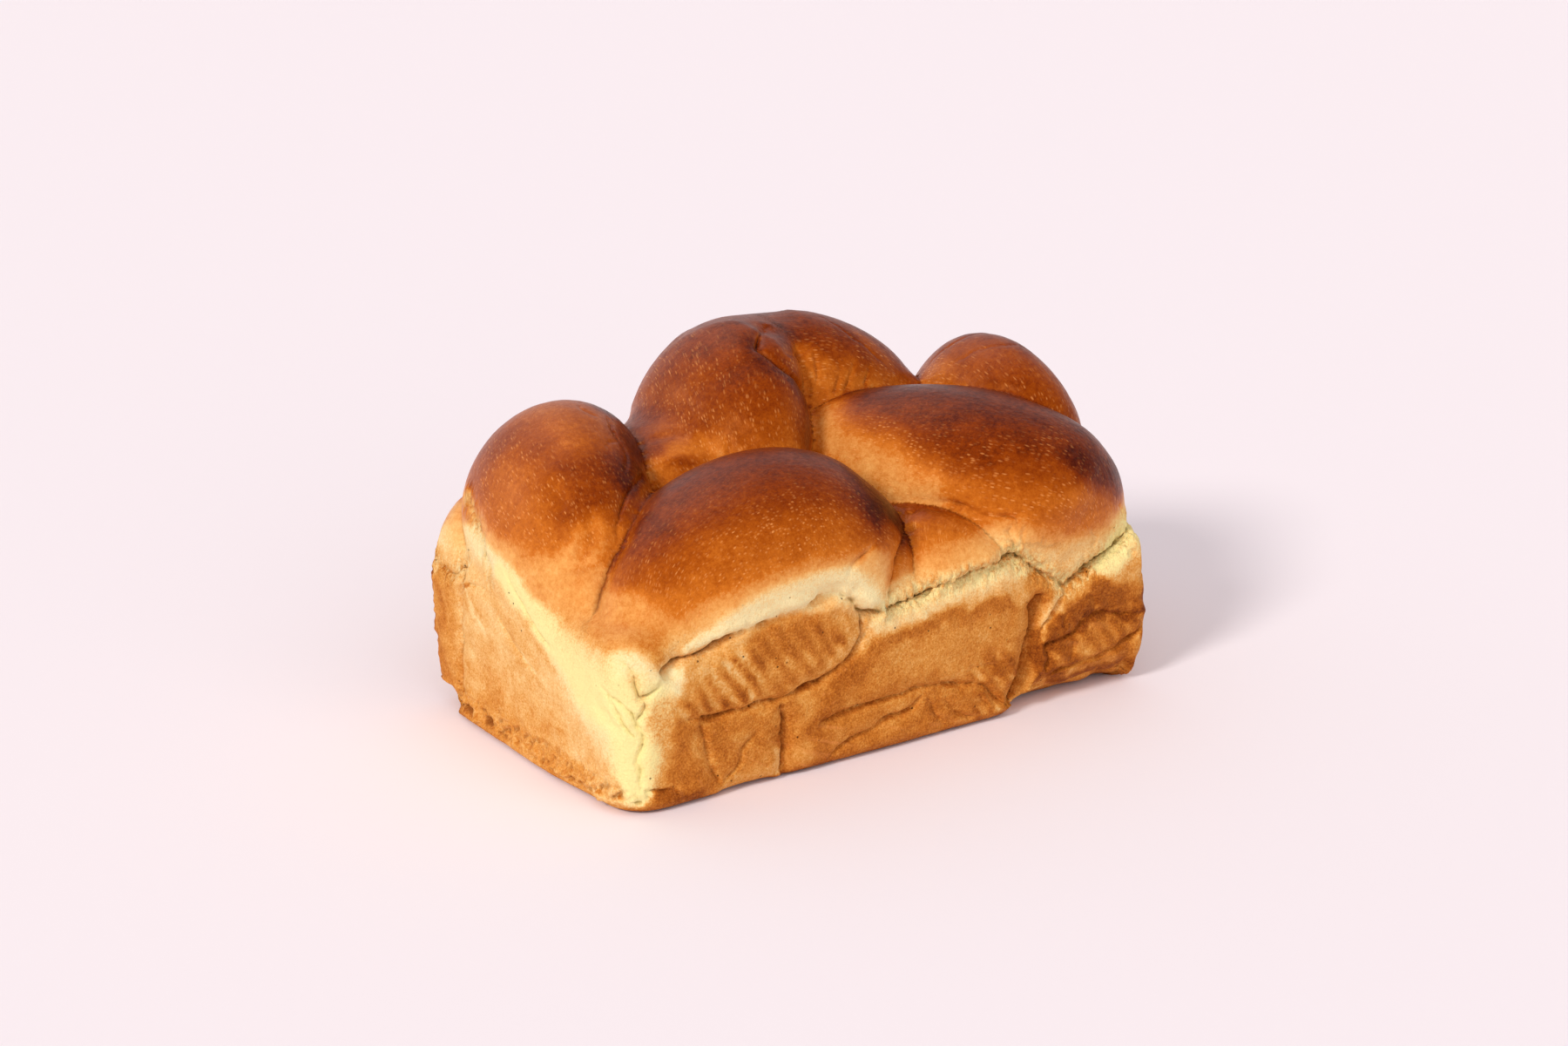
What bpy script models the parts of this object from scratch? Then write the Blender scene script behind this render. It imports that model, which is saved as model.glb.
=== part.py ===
"""A braided loaf of enriched bread, baked in a tin, as one solid.

The loaf is built the way a baker builds it. Soft ropes of dough are laid over and under one another,
they swell until they press together, and the lower half fills a tin whose walls flatten it. Where the
ropes spring up out of the tin the crust tears and folds, and those folds are pressed in last. Units are
metres. The loaf lies along X, stands on Z = 0, and its origin is the middle of its footprint.
"""
import math

import bmesh
import bpy
import numpy
from mathutils import Matrix, Vector
from mathutils.bvhtree import BVHTree

MM = 0.001

# The dough against the tin: half sizes at each height, as (height, left, right, front, back), in mm.
WALLS = [
    (0, 103.5, 101.5, 61.0, 60.0),
    (12, 104.5, 104.5, 61.7, 61.0),
    (25, 105.0, 105.5, 62.0, 61.5),
    (37, 105.7, 104.3, 62.2, 62.0),
    (48, 106.0, 101.0, 62.0, 62.0),
    (60, 106.0, 96.5, 61.0, 61.5),
]
NEAR_CORNER = 13.0  # radius of the upright corner at the left front, where the dough did not fill the tin
OTHER_CORNERS = 6.0
SHOULDER = 11.0
FOOT = 4.0
TIN_LENGTH = 211.0
TIN_WIDTH = 122.5
TIN_SLOPE = 0.015  # how far a wall leans out for each millimetre of height
RIM_HEIGHT = 58.0  # the dough is free of the tin above this
OVERHANG = 5.0  # how far the risen dough reaches out past the tin, at most

# Each rope: its route as (x, y, z, half width, half height) in millimetres.
ROPES = {
    "left_end": [
        (-90, -56, 36, 16, 18), (-84, -24, 48, 23, 25), (-78, 16, 68, 28, 33), (-66, 42, 70, 31, 34),
        (-54, 54, 58, 20, 22),
    ],
    "front_big": [
        (-98, -50, 36, 16, 20), (-70, -34, 52, 35, 33), (-30, -28, 60, 38, 38), (-4, -36, 56, 34, 33),
        (18, -46, 48, 18, 20),
    ],
    "back_middle": [
        (1, 64, 48, 22, 22), (-4, 46, 82, 31, 36), (-10, 27, 80, 28, 35), (-17, 6, 66, 23, 27),
        (-15, -8, 52, 14, 18),
    ],
    "back_under": [
        (6, 44, 84, 26, 32), (28, 38, 86, 28, 34), (52, 32, 74, 25, 30), (70, 30, 56, 17, 22),
    ],
    "right_big": [
        (10, 26, 76, 20, 22), (34, 2, 73, 32, 30), (61, -26, 65, 38, 35), (82, -41, 54, 29, 32),
        (93, -52, 45, 16, 20),
    ],
    "right_end": [
        (86, 50, 50, 18, 18), (85, 30, 64, 19, 27), (83, 4, 75, 21, 34), (83, -20, 66, 21, 30),
        (85, -40, 50, 18, 22),
    ],
    "front_under": [(14, -54, 28, 18, 20), (27, -39, 45, 28, 29), (52, -34, 48, 30, 27)],
    "left_valley": [
        (-62, 0, 50, 12, 14), (-44, 14, 60, 18, 22), (-36, 34, 68, 22, 25), (-30, 56, 58, 16, 20),
    ],
    "back_left": [
        (-100, 52, 42, 18, 20), (-82, 50, 50, 25, 27), (-50, 46, 52, 30, 30), (-16, 44, 46, 22, 24),
    ],
    "back_right": [
        (16, 46, 46, 22, 24), (46, 44, 54, 30, 34), (76, 46, 52, 26, 28), (96, 48, 42, 18, 20),
    ],
}

# How much a rope's cross-section leans, as a rise for each millimetre across it.
LEANS = {"left_end": -0.15, "back_middle": 0.42, "right_end": 0.15}

# Each fold in the crust: how deep, how wide on either side, and its route as (x, y, z), all in mm.
FOLDS = {
    "tear_under_front_big": (6.0, 3.6, [
        (-98, -62, 43), (-88, -62, 49), (-70, -62, 54), (-53, -62, 56), (-37, -62, 56), (-20, -62, 53),
        (-6, -62, 52),
    ]),
    "tear_under_front_under": (4.5, 3.2, [
        (-6, -62, 52), (6, -62, 54), (21, -62, 55), (32, -62, 57), (48, -62, 57),
    ]),
    "tear_under_right_big": (5.0, 3.2, [
        (44, -62, 57), (55, -62, 52), (65, -62, 45), (77, -62, 48), (88, -62, 53), (99, -58, 57),
        (103, -40, 58), (103, -8, 54), (103, 22, 55), (102, 48, 50),
    ]),
    "seam_left_front": (3.5, 2.8, [
        (-15, -62, 50), (-16, -62, 43), (-22, -62, 35), (-35, -62, 30), (-49, -62, 29), (-62, -62, 29),
        (-78, -62, 31),
    ]),
    "seam_left_foot": (4.5, 2.8, [(-48, -62, 29), (-46, -62, 20), (-47, -62, 12), (-45, -62, 0)]),
    "crease_left_foot": (1.8, 2.4, [(-78, -62, 31), (-75, -62, 24), (-73, -62, 16), (-68, -62, 7)]),
    "seam_right_front": (8.0, 3.8, [
        (67, -62, 44), (59, -62, 36), (54, -62, 31), (52, -62, 23), (51, -62, 12), (47, -62, 0),
    ]),
    "crease_middle_foot": (2.0, 2.4, [
        (-28, -62, 8), (-11, -62, 13), (6, -62, 15), (22, -62, 16), (33, -62, 15),
    ]),
    "crease_right_pad": (2.0, 2.4, [(101, -62, 24), (86, -62, 26), (73, -62, 22), (66, -62, 17)]),
    "crease_right_low": (1.8, 2.4, [(96, -62, 12), (79, -62, 12), (68, -62, 9)]),
    "foot_right": (8.0, 8.0, [(56, -62, -1), (78, -62, -1), (103, -60, -1)]),
    "crease_near_corner": (3.0, 3.2, [(-98, -60, 44), (-99, -60, 34), (-99, -60, 22)]),
    "seam_left_end": (3.0, 3.2, [
        (-105, 40, 52), (-105, 42, 44), (-105, 43, 30), (-105, 45, 14), (-103, 45, 0),
    ]),
    "tear_back_left": (3.0, 3.2, [(-105, 58, 52), (-105, 44, 49), (-105, 36, 53), (-104, 28, 58)]),
    "tear_back": (4.0, 3.2, [
        (-88, 62, 52), (-50, 62, 56), (-20, 62, 52), (0, 62, 56), (40, 62, 54), (88, 62, 52),
    ]),
    "seam_back": (4.0, 3.2, [(-22, 62, 52), (-18, 62, 36), (-22, 62, 20), (-19, 62, 0)]),
}

VOXEL = 1.5
TRIANGLES = 9600
CRUST_COLOUR = (0.42, 0.13, 0.022, 1.0)
CRUST_ROUGHNESS = 0.42


def smooth_route(stations, share):
    """The point at a share (0 to 1) of a route, on a Catmull-Rom curve through its stations."""
    last = len(stations) - 1
    place = min(max(share, 0.0), 1.0) * last
    index = min(int(place), last - 1)
    t = place - index
    near = [stations[min(max(index + step, 0), last)] for step in (-1, 0, 1, 2)]
    return [
        0.5 * (2 * b + (c - a) * t + (2 * a - 5 * b + 4 * c - d) * t ** 2 + (3 * b - a - 3 * c + d) * t ** 3)
        for a, b, c, d in zip(*near)
    ]


def rope_mesh(name, stations, lean=0.0, rings=40, around=36, fullness=2.4):
    """A swollen rope of dough: a ball stretched along its route, as wide and high as the stations say."""
    bm = bmesh.new()
    bmesh.ops.create_uvsphere(bm, u_segments=around, v_segments=rings, radius=1.0)
    for vert in bm.verts:
        along = max(-1.0, min(1.0, vert.co.z))
        share = (along + 1) / 2
        x, y, z, half_width, half_height = smooth_route(stations, share)
        ahead = Vector(smooth_route(stations, share + 0.02)[:3])
        behind = Vector(smooth_route(stations, share - 0.02)[:3])
        tangent = (ahead - behind).normalized()
        side = Vector((0, 0, 1)).cross(tangent).normalized()
        up = tangent.cross(side)
        ring = math.hypot(vert.co.x, vert.co.y)
        full = (1 - abs(along) ** fullness) ** (1 / fullness) / ring if ring > 1e-6 else 0.0
        across = vert.co.x * full * half_width
        rise = vert.co.y * full * half_height + lean * across
        vert.co = (Vector((x, y, z)) + side * across + up * rise) * MM
    mesh = bpy.data.meshes.new(name)
    bm.to_mesh(mesh)
    bm.free()
    return mesh


def wall_at(height):
    """The half sizes (left, right, front, back) of the tinned dough at a height."""
    heights = [row[0] for row in WALLS]
    return [float(numpy.interp(height, heights, [row[side] for row in WALLS])) for side in (1, 2, 3, 4)]


def upright_edges(bm):
    """The edges that run up the block's corners."""
    return [edge for edge in bm.edges if abs(edge.verts[0].co.z - edge.verts[1].co.z) > 1]


def core_mesh():
    """The dough under the ropes, a block that fills the tin with rounded corners, shoulder and foot."""
    top = WALLS[-1][0]
    bm = bmesh.new()
    bmesh.ops.create_cube(bm, size=2.0)
    for vert in bm.verts:
        vert.co.z = top if vert.co.z > 0 else 0.0
    for height in (row[0] for row in WALLS[1:-1]):
        geometry = bm.verts[:] + bm.edges[:] + bm.faces[:]
        bmesh.ops.bisect_plane(bm, geom=geometry, plane_co=(0, 0, height), plane_no=(0, 0, 1))
    for vert in bm.verts:
        left, right, front, back = wall_at(vert.co.z)
        vert.co.x *= left if vert.co.x < 0 else right
        vert.co.y *= front if vert.co.y < 0 else back
    near = [edge for edge in upright_edges(bm) if edge.verts[0].co.x < 0 and edge.verts[0].co.y < 0]
    bmesh.ops.bevel(bm, geom=near, offset=NEAR_CORNER, segments=6, profile=0.5, affect="EDGES")
    others = [edge for edge in upright_edges(bm) if edge.calc_face_angle(0) > 1.2]
    bmesh.ops.bevel(bm, geom=others, offset=OTHER_CORNERS, segments=5, profile=0.5, affect="EDGES")
    shoulder = [edge for edge in bm.edges if all(vert.co.z > top - 1 for vert in edge.verts)]
    bmesh.ops.bevel(bm, geom=shoulder, offset=SHOULDER, segments=5, profile=0.5, affect="EDGES")
    foot = [edge for edge in bm.edges if all(vert.co.z < 1 for vert in edge.verts)]
    bmesh.ops.bevel(bm, geom=foot, offset=FOOT, segments=3, profile=0.5, affect="EDGES")
    bmesh.ops.scale(bm, vec=(MM, MM, MM), verts=bm.verts)
    mesh = bpy.data.meshes.new("core")
    bm.to_mesh(mesh)
    bm.free()
    return mesh


def joined(meshes, name, collection):
    """One object holding all the meshes."""
    bm = bmesh.new()
    for mesh in meshes:
        bm.from_mesh(mesh)
        bpy.data.meshes.remove(mesh)
    mesh = bpy.data.meshes.new(name)
    bm.to_mesh(mesh)
    bm.free()
    thing = bpy.data.objects.new(name, mesh)
    collection.objects.link(thing)
    return thing


def keep_modifiers(thing):
    """Turns what the modifiers make into the object's own mesh."""
    bpy.context.view_layer.update()
    made = thing.evaluated_get(bpy.context.evaluated_depsgraph_get())
    mesh = bpy.data.meshes.new_from_object(made)
    before = thing.data
    thing.modifiers.clear()
    thing.data = mesh
    bpy.data.meshes.remove(before)


def press_into_tin(mesh):
    """Flattens what would pass the tin's walls or its floor."""
    for vert in mesh.vertices:
        height = vert.co.z / MM
        grip = min(max((RIM_HEIGHT + 14 - height) / 28, 0.0), 1.0)
        half_x = TIN_LENGTH / 2 + TIN_SLOPE * max(height, 0)
        half_y = TIN_WIDTH / 2 + TIN_SLOPE * max(height, 0)
        for axis, half in ((0, half_x), (1, half_y)):
            over = abs(vert.co[axis]) / MM - half
            if over > 0:
                kept = (1 - grip) * OVERHANG * math.tanh(over / OVERHANG)
                vert.co[axis] = math.copysign((half + kept) * MM, vert.co[axis])
        vert.co.z = max(vert.co.z, 0.0)


def route_on(tree, stations, step=1.5):
    """A route sampled every step millimetres and laid on the surface."""
    corners = [Vector(station) * MM for station in stations]
    points = []
    for first, second in zip(corners, corners[1:]):
        count = max(1, round((second - first).length / (step * MM)))
        for index in range(count):
            points.append(tree.find_nearest(first.lerp(second, index / count))[0])
    points.append(tree.find_nearest(corners[-1])[0])
    return numpy.array([tuple(point) for point in points]) / MM


def press_folds(mesh):
    """Presses every fold into the crust, deepest along its route and fading to nothing at its sides."""
    bm = bmesh.new()
    bm.from_mesh(mesh)
    tree = BVHTree.FromBMesh(bm)
    bm.free()
    count = len(mesh.vertices)
    places = numpy.empty(count * 3)
    mesh.vertices.foreach_get("co", places)
    places = places.reshape(count, 3) / MM
    normals = numpy.empty(count * 3)
    mesh.vertex_normals.foreach_get("vector", normals)
    normals = normals.reshape(count, 3)
    sunk = numpy.zeros(count)
    for depth, half_width, stations in FOLDS.values():
        route = route_on(tree, stations)
        away = numpy.full(count, 1e9)
        for point in route:
            away = numpy.minimum(away, ((places - point) ** 2).sum(axis=1))
        fade = numpy.exp(-((numpy.sqrt(away) / half_width) ** 1.3))
        sunk = numpy.maximum(sunk, depth * fade)
    places -= normals * sunk[:, None]
    places[:, 2] = numpy.maximum(places[:, 2], 0.0)
    mesh.vertices.foreach_set("co", (places * MM).ravel())
    mesh.update()


def centre(mesh):
    """Moves the loaf so that the middle of its footprint is the origin."""
    places = numpy.array([tuple(vert.co) for vert in mesh.vertices])
    middle = (places.min(axis=0) + places.max(axis=0)) / 2
    mesh.transform(Matrix.Translation((-middle[0], -middle[1], 0.0)))
    print("loaf moved by", [round(-float(value) / MM, 2) for value in middle[:2]], "mm")


def crust_material():
    """Baked crust: one middling brown, with the soft shine of an egg wash."""
    material = bpy.data.materials.new("crust")
    material.use_nodes = True
    shader = material.node_tree.nodes["Principled BSDF"]
    shader.inputs["Base Color"].default_value = CRUST_COLOUR
    shader.inputs["Roughness"].default_value = CRUST_ROUGHNESS
    shader.inputs["Metallic"].default_value = 0.0
    return material


def main():
    """Builds the loaf."""
    for thing in list(bpy.data.objects):
        bpy.data.objects.remove(thing)
    collection = bpy.data.collections.new("braided_loaf")
    bpy.context.scene.collection.children.link(collection)
    meshes = [core_mesh()]
    meshes += [rope_mesh(name, stations, LEANS.get(name, 0.0)) for name, stations in ROPES.items()]
    loaf = joined(meshes, "loaf", collection)
    skin = loaf.modifiers.new("one skin", "REMESH")
    skin.mode = "VOXEL"
    skin.voxel_size = VOXEL * MM
    soft = loaf.modifiers.new("soft", "SMOOTH")
    soft.factor = 0.5
    soft.iterations = 3
    keep_modifiers(loaf)
    press_into_tin(loaf.data)
    press_folds(loaf.data)
    faces = sum(len(face.vertices) - 2 for face in loaf.data.polygons)
    fewer = loaf.modifiers.new("fewer", "DECIMATE")
    fewer.ratio = TRIANGLES / faces
    keep_modifiers(loaf)
    centre(loaf.data)
    loaf.data.materials.clear()
    loaf.data.materials.append(crust_material())


main()
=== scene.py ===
# %% [markdown]
# # A braided loaf with its crust on
#
# This is a loaf of enriched bread, baked in a tin. Fat ropes of dough cross over and under each other, the oven
# swells them until they press together, and the tin flattens everything below its rim. An egg wash browns and
# shines the ropes, and where the dough tears open as it rises the skin stays cream.
#
# The solid in model.glb already has the ropes and the main folds. It is coarse, so this lesson makes
# the same loaf again with far finer faces, presses the small folds in, works out how brown each spot is, and gives
# it a crust. The first cell loads the solid and keeps its box, because the dressed loaf has to stay inside it.

# %% Load the solid and measure it
import math

import bmesh
import bpy
import numpy as np
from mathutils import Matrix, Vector, noise
from mathutils.bvhtree import BVHTree
from mathutils.kdtree import KDTree


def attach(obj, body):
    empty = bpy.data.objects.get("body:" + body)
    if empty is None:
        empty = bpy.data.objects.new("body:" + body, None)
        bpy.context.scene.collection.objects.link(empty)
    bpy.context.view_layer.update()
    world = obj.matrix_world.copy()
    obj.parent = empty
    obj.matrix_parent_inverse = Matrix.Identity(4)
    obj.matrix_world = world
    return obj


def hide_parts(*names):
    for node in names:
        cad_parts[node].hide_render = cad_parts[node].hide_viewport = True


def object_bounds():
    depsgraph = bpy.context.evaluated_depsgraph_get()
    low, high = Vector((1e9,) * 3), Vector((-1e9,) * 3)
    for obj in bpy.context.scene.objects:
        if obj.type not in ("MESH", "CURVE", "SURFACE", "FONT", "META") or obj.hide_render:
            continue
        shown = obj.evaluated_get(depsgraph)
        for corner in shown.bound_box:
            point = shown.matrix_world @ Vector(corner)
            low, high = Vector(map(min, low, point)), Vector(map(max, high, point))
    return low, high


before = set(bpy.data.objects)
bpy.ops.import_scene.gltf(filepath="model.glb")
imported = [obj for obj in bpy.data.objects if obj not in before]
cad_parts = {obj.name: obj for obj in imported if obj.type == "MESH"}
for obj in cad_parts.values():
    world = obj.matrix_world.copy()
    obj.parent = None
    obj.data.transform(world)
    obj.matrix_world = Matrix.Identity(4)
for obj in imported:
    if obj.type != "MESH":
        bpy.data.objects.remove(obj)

MM = 0.001
solid_box = [list(corner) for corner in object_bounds()]
solid_middle = [(low + high) / 2 / MM for low, high in zip(*solid_box)]
print("solid box, mm:", [[round(value / MM, 1) for value in corner] for corner in solid_box])

# %% [markdown]
# Three small helpers serve every cell. Colours are written the way a paint chart gives them, as sRGB hex values,
# and Blender's shaders want linear light, so one function turns them. Another adds a shader node with its settings
# and its links, and gives back the output that the next node links from. The third is the smooth step that fades
# one thing into the next.

# %% Colour, node and fade helpers
def paint(hex_colour):
    """An sRGB hex colour as linear red, green, blue and alpha."""
    parts = [int(hex_colour[place:place + 2], 16) / 255 for place in (0, 2, 4)]
    linear = [part / 12.92 if part <= 0.04045 else ((part + 0.055) / 1.055) ** 2.4 for part in parts]
    return (*linear, 1.0)


def add_node(tree, kind, settings=None, inputs=None, output=0):
    """Adds one node with its own settings and with values or links for its inputs, and gives one of its outputs."""
    node = tree.nodes.new(kind)
    for name, value in (settings or {}).items():
        setattr(node, name, value)
    for name, value in (inputs or {}).items():
        if isinstance(value, bpy.types.NodeSocket):
            tree.links.new(value, node.inputs[name])
        else:
            node.inputs[name].default_value = value
    return node.outputs[output]


def fade(low, high, values):
    """0 below low, 1 above high, and a smooth step between them."""
    share = np.clip((np.asarray(values, float) - low) / (high - low), 0.0, 1.0)
    return share * share * (3 - 2 * share)


print("cream:", [round(part, 3) for part in paint("fbe9ae")])

# %% [markdown]
# ## The camera
#
# A portrait lens, held back more than a metre, keeps the loaf's far end from shrinking. The camera stands to the
# left of the loaf's long side and a little above it, so that the side, the left end and the tops of the ropes all
# show. It is placed by an angle round the loaf, an angle above the table and a distance, which is easier to
# think about than three coordinates.

# %% Place the camera
CAMERA_TURN = math.radians(-34.2)
CAMERA_RISE = math.radians(20.2)
CAMERA_DISTANCE = 1.279
CAMERA_LENS = 85.0
CAMERA_AIM = Vector((0.0218, 0.0344, 0.045))

camera = bpy.data.objects.new("camera", bpy.data.cameras.new("camera"))
camera.data.lens = CAMERA_LENS
camera.data.sensor_width = 36.0
camera.data.clip_start = 0.05
toward_camera = Vector((
    math.sin(CAMERA_TURN) * math.cos(CAMERA_RISE),
    -math.cos(CAMERA_TURN) * math.cos(CAMERA_RISE),
    math.sin(CAMERA_RISE),
))
camera.location = CAMERA_AIM + toward_camera * CAMERA_DISTANCE
camera.rotation_mode = "QUATERNION"
camera.rotation_quaternion = (-toward_camera).to_track_quat("-Z", "Y")
bpy.context.scene.collection.objects.link(camera)
bpy.context.scene.camera = camera
print("camera at", [round(value, 3) for value in camera.location])

# %% [markdown]
# ## The table and the light
#
# The loaf stands on seamless white card: a wide pale floor with a breath of pink. The
# sky is a dim even white. A distant lamp low on the left is the key light. It is a sun lamp, because that lights
# the whole floor evenly, and its angle makes it as soft as a window. A weak one in front stands for light bounced
# off a dull wall, so it fills the shadows and leaves no highlight. Behind the loaf a studio has large white panels,
# and what they give is the pale sheen along the tops of the glazed ropes. Their share of the plain light is in the
# sky already, so the two lamps that stand for them are only seen in the gloss.

# %% Make the floor and the studio light
def away_from(turn, rise):
    """The direction at an angle round the loaf (0 is the front, clockwise from above) and an angle above it."""
    turn, rise = math.radians(turn), math.radians(rise)
    return Vector((math.sin(turn) * math.cos(rise), -math.cos(turn) * math.cos(rise), math.sin(rise)))


floor_mesh = bpy.data.meshes.new("floor")
sheet = bmesh.new()
bmesh.ops.create_grid(sheet, x_segments=1, y_segments=1, size=5.0)
sheet.to_mesh(floor_mesh)
sheet.free()
floor = bpy.data.objects.new("floor", floor_mesh)
floor.location.z = solid_box[0][2]
bpy.context.scene.collection.objects.link(floor)
card = bpy.data.materials.new("matt_white_card")
card.use_nodes = True
card_shader = card.node_tree.nodes["Principled BSDF"]
card_shader.inputs["Base Color"].default_value = paint("f6eef3")
card_shader.inputs["Roughness"].default_value = 0.9
card_shader.inputs["Specular IOR Level"].default_value = 0.0
floor_mesh.materials.append(card)

sky = bpy.data.worlds.new("studio")
sky.use_nodes = True
where = add_node(sky.node_tree, "ShaderNodeTexCoord", output="Generated")
toward_panel = add_node(sky.node_tree, "ShaderNodeVectorMath", {"operation": "DOT_PRODUCT"}, {
    0: where, 1: away_from(178, 25),
}, "Value")
glow = add_node(sky.node_tree, "ShaderNodeMapRange", {"interpolation_type": "SMOOTHSTEP"}, {
    "Value": toward_panel, "From Min": 0.1, "From Max": 0.95, "To Min": 0.38, "To Max": 0.77,
})
background = sky.node_tree.nodes["Background"]
background.inputs["Color"].default_value = paint("fff9fb")
sky.node_tree.links.new(glow, background.inputs["Strength"])
bpy.context.scene.world = sky
bpy.context.scene.view_settings.view_transform = "Standard"


def far_lamp(name, turn, rise, softness, strength, colour, mirrored=True, lighting=True):
    """A sun lamp from an angle round the loaf and an angle above the table. softness is its width in degrees."""
    lamp = bpy.data.lights.new(name, "SUN")
    lamp.angle = math.radians(softness)
    lamp.energy = strength
    lamp.color = paint(colour)[:3]
    holder = bpy.data.objects.new(name, lamp)
    holder.rotation_mode = "QUATERNION"
    holder.rotation_quaternion = (-away_from(turn, rise)).to_track_quat("-Z", "Y")
    holder.visible_glossy = mirrored
    holder.visible_diffuse = lighting
    bpy.context.scene.collection.objects.link(holder)


far_lamp("left_window", -73, 35, 14, 1.8, "fffaf4")
far_lamp("front_bounce", -8, 40, 70, 1.0, "fffaf8", mirrored=False)
far_lamp("back_left_strip", -132, 24, 14, 0.5, "fff6f2", lighting=False)
far_lamp("back_panel", -166, 58, 46, 0.8, "fff4f0", lighting=False)

# %% [markdown]
# ## The ropes of dough
#
# A rope that has risen is fat in the middle and tapers where it dives under its neighbour. It could be swept with
# a curve and a round profile, but a curve gives the same round section all along. Here a ball is stretched along a
# route instead: each station of the route says where the rope runs and how wide and high it is there, so the rope
# swells and tapers freely. Some sections also lean, because a rope slumps towards the side that has room.

# %% Name the ropes
# Each station is (x, y, z, half width, half height) in millimetres, from one hidden end to the other.
ROPES = {
    "left_end": [
        (-90, -56, 36, 16, 18), (-84, -24, 48, 23, 25), (-78, 16, 68, 29, 33.6), (-67, 42, 70, 32, 34.6),
        (-54, 54, 58, 20, 22),
    ],
    "front_big": [
        (-98, -50, 36, 16, 20), (-70, -34, 52, 35, 33), (-30, -28, 60, 38, 38), (-4, -36, 56, 34, 33),
        (18, -46, 48, 18, 20),
    ],
    "back_middle": [
        (1, 64, 48, 22, 22), (-5, 46, 82, 32, 36), (-11, 27, 80, 29, 35), (-17, 6, 66, 23.5, 27),
        (-15, -8, 52, 14, 18),
    ],
    "back_under": [
        (-12, 44, 79, 22, 29), (8, 43, 85.2, 28, 33.6), (28, 38, 85, 28, 33.4), (51, 32, 74, 24.5, 30), (70, 30, 56, 17, 22),
    ],
    "right_big": [
        (10, 26, 76, 20, 22), (34, 2, 73, 32, 30), (61, -26, 65, 38.5, 35.3), (83, -41, 54, 30, 33),
        (93, -52, 45, 16, 20),
    ],
    "right_end": [
        (86, 50, 50, 18, 18), (85, 30, 64, 19.5, 27), (83, 4, 75, 22, 34.4), (83, -20, 66, 22.3, 30.6),
        (85, -40, 50, 18, 22),
    ],
    "front_under": [(14, -54, 28, 18, 20), (27, -39, 45, 28, 29), (52, -34, 48, 30, 27)],
    "right_strip": [(97, -58, 34, 7, 12), (96, -48, 50, 8, 14), (95, -28, 54, 10, 15), (92, 0, 50, 12, 14)],
    "left_valley": [
        (-56, -4, 50, 12, 14), (-38, 13, 58, 24, 31), (-33, 32, 66, 25, 30), (-30, 56, 58, 16, 20),
    ],
    "back_left": [
        (-100, 52, 42, 18, 20), (-82, 50, 50, 25, 27), (-50, 46, 52, 30, 30), (-16, 44, 46, 22, 24),
    ],
    "back_right": [
        (16, 46, 46, 22, 24), (46, 44, 54, 30, 34), (76, 46, 52, 26, 28), (96, 48, 42, 18, 20),
    ],
}
# How much a rope's section leans, as a rise for each millimetre across it.
LEANS = {"left_end": -0.15, "back_middle": 0.42, "right_end": 0.15}
print(len(ROPES), "ropes")


# %% Stretch a ball along each route
def smooth_route(stations, share):
    """The point at a share (0 to 1) of a route, on a Catmull-Rom curve through its stations."""
    last = len(stations) - 1
    place = min(max(share, 0.0), 1.0) * last
    index = min(int(place), last - 1)
    t = place - index
    near = [stations[min(max(index + step, 0), last)] for step in (-1, 0, 1, 2)]
    return [
        0.5 * (2 * b + (c - a) * t + (2 * a - 5 * b + 4 * c - d) * t ** 2 + (3 * b - a - 3 * c + d) * t ** 3)
        for a, b, c, d in zip(*near)
    ]


def rope_mesh(name, stations, lean=0.0, rings=60, around=54, fullness=2.4):
    """A swollen rope of dough: a ball stretched along its route, as wide and high as the stations say."""
    bm = bmesh.new()
    bmesh.ops.create_uvsphere(bm, u_segments=around, v_segments=rings, radius=1.0)
    for vert in bm.verts:
        along = max(-1.0, min(1.0, vert.co.z))
        share = (along + 1) / 2
        x, y, z, half_width, half_height = smooth_route(stations, share)
        ahead = Vector(smooth_route(stations, share + 0.02)[:3])
        behind = Vector(smooth_route(stations, share - 0.02)[:3])
        tangent = (ahead - behind).normalized()
        side = Vector((0, 0, 1)).cross(tangent).normalized()
        up = tangent.cross(side)
        ring = math.hypot(vert.co.x, vert.co.y)
        full = (1 - abs(along) ** fullness) ** (1 / fullness) / ring if ring > 1e-6 else 0.0
        across = vert.co.x * full * half_width
        rise = vert.co.y * full * half_height + lean * across
        vert.co = (Vector((x, y, z)) + side * across + up * rise) * MM
    mesh = bpy.data.meshes.new(name)
    bm.to_mesh(mesh)
    bm.free()
    return mesh


ropes = {name: rope_mesh(name, stations, LEANS.get(name, 0.0)) for name, stations in ROPES.items()}
print("rope faces:", sum(len(mesh.polygons) for mesh in ropes.values()))

# %% [markdown]
# ## The dough in the tin
#
# Below the rim there are no round ropes any more: they have grown together into a block with the tin's flat walls.
# The block is a cube cut into a few levels, and each level has its own half sizes, because bread shrinks away from
# a tin unevenly as it cools. Bevels round its corners. One corner is much rounder, where the dough did not reach
# into the tin.

# %% Build the block
# Half sizes at each height: (height, left, right, front, back) in millimetres.
WALLS = [
    (0, 103.5, 101.5, 61.0, 60.0),
    (12, 104.5, 104.5, 61.7, 61.0),
    (25, 105.0, 105.5, 62.0, 61.5),
    (37, 105.7, 104.3, 62.2, 62.0),
    (48, 106.0, 101.0, 62.0, 62.0),
    (60, 106.0, 96.5, 61.0, 61.5),
]
NEAR_CORNER, OTHER_CORNERS, SHOULDER, FOOT = 13.0, 6.0, 11.0, 4.0


def wall_at(height):
    """The half sizes (left, right, front, back) of the tinned dough at a height."""
    heights = [row[0] for row in WALLS]
    return [float(np.interp(height, heights, [row[side] for row in WALLS])) for side in (1, 2, 3, 4)]


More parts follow.
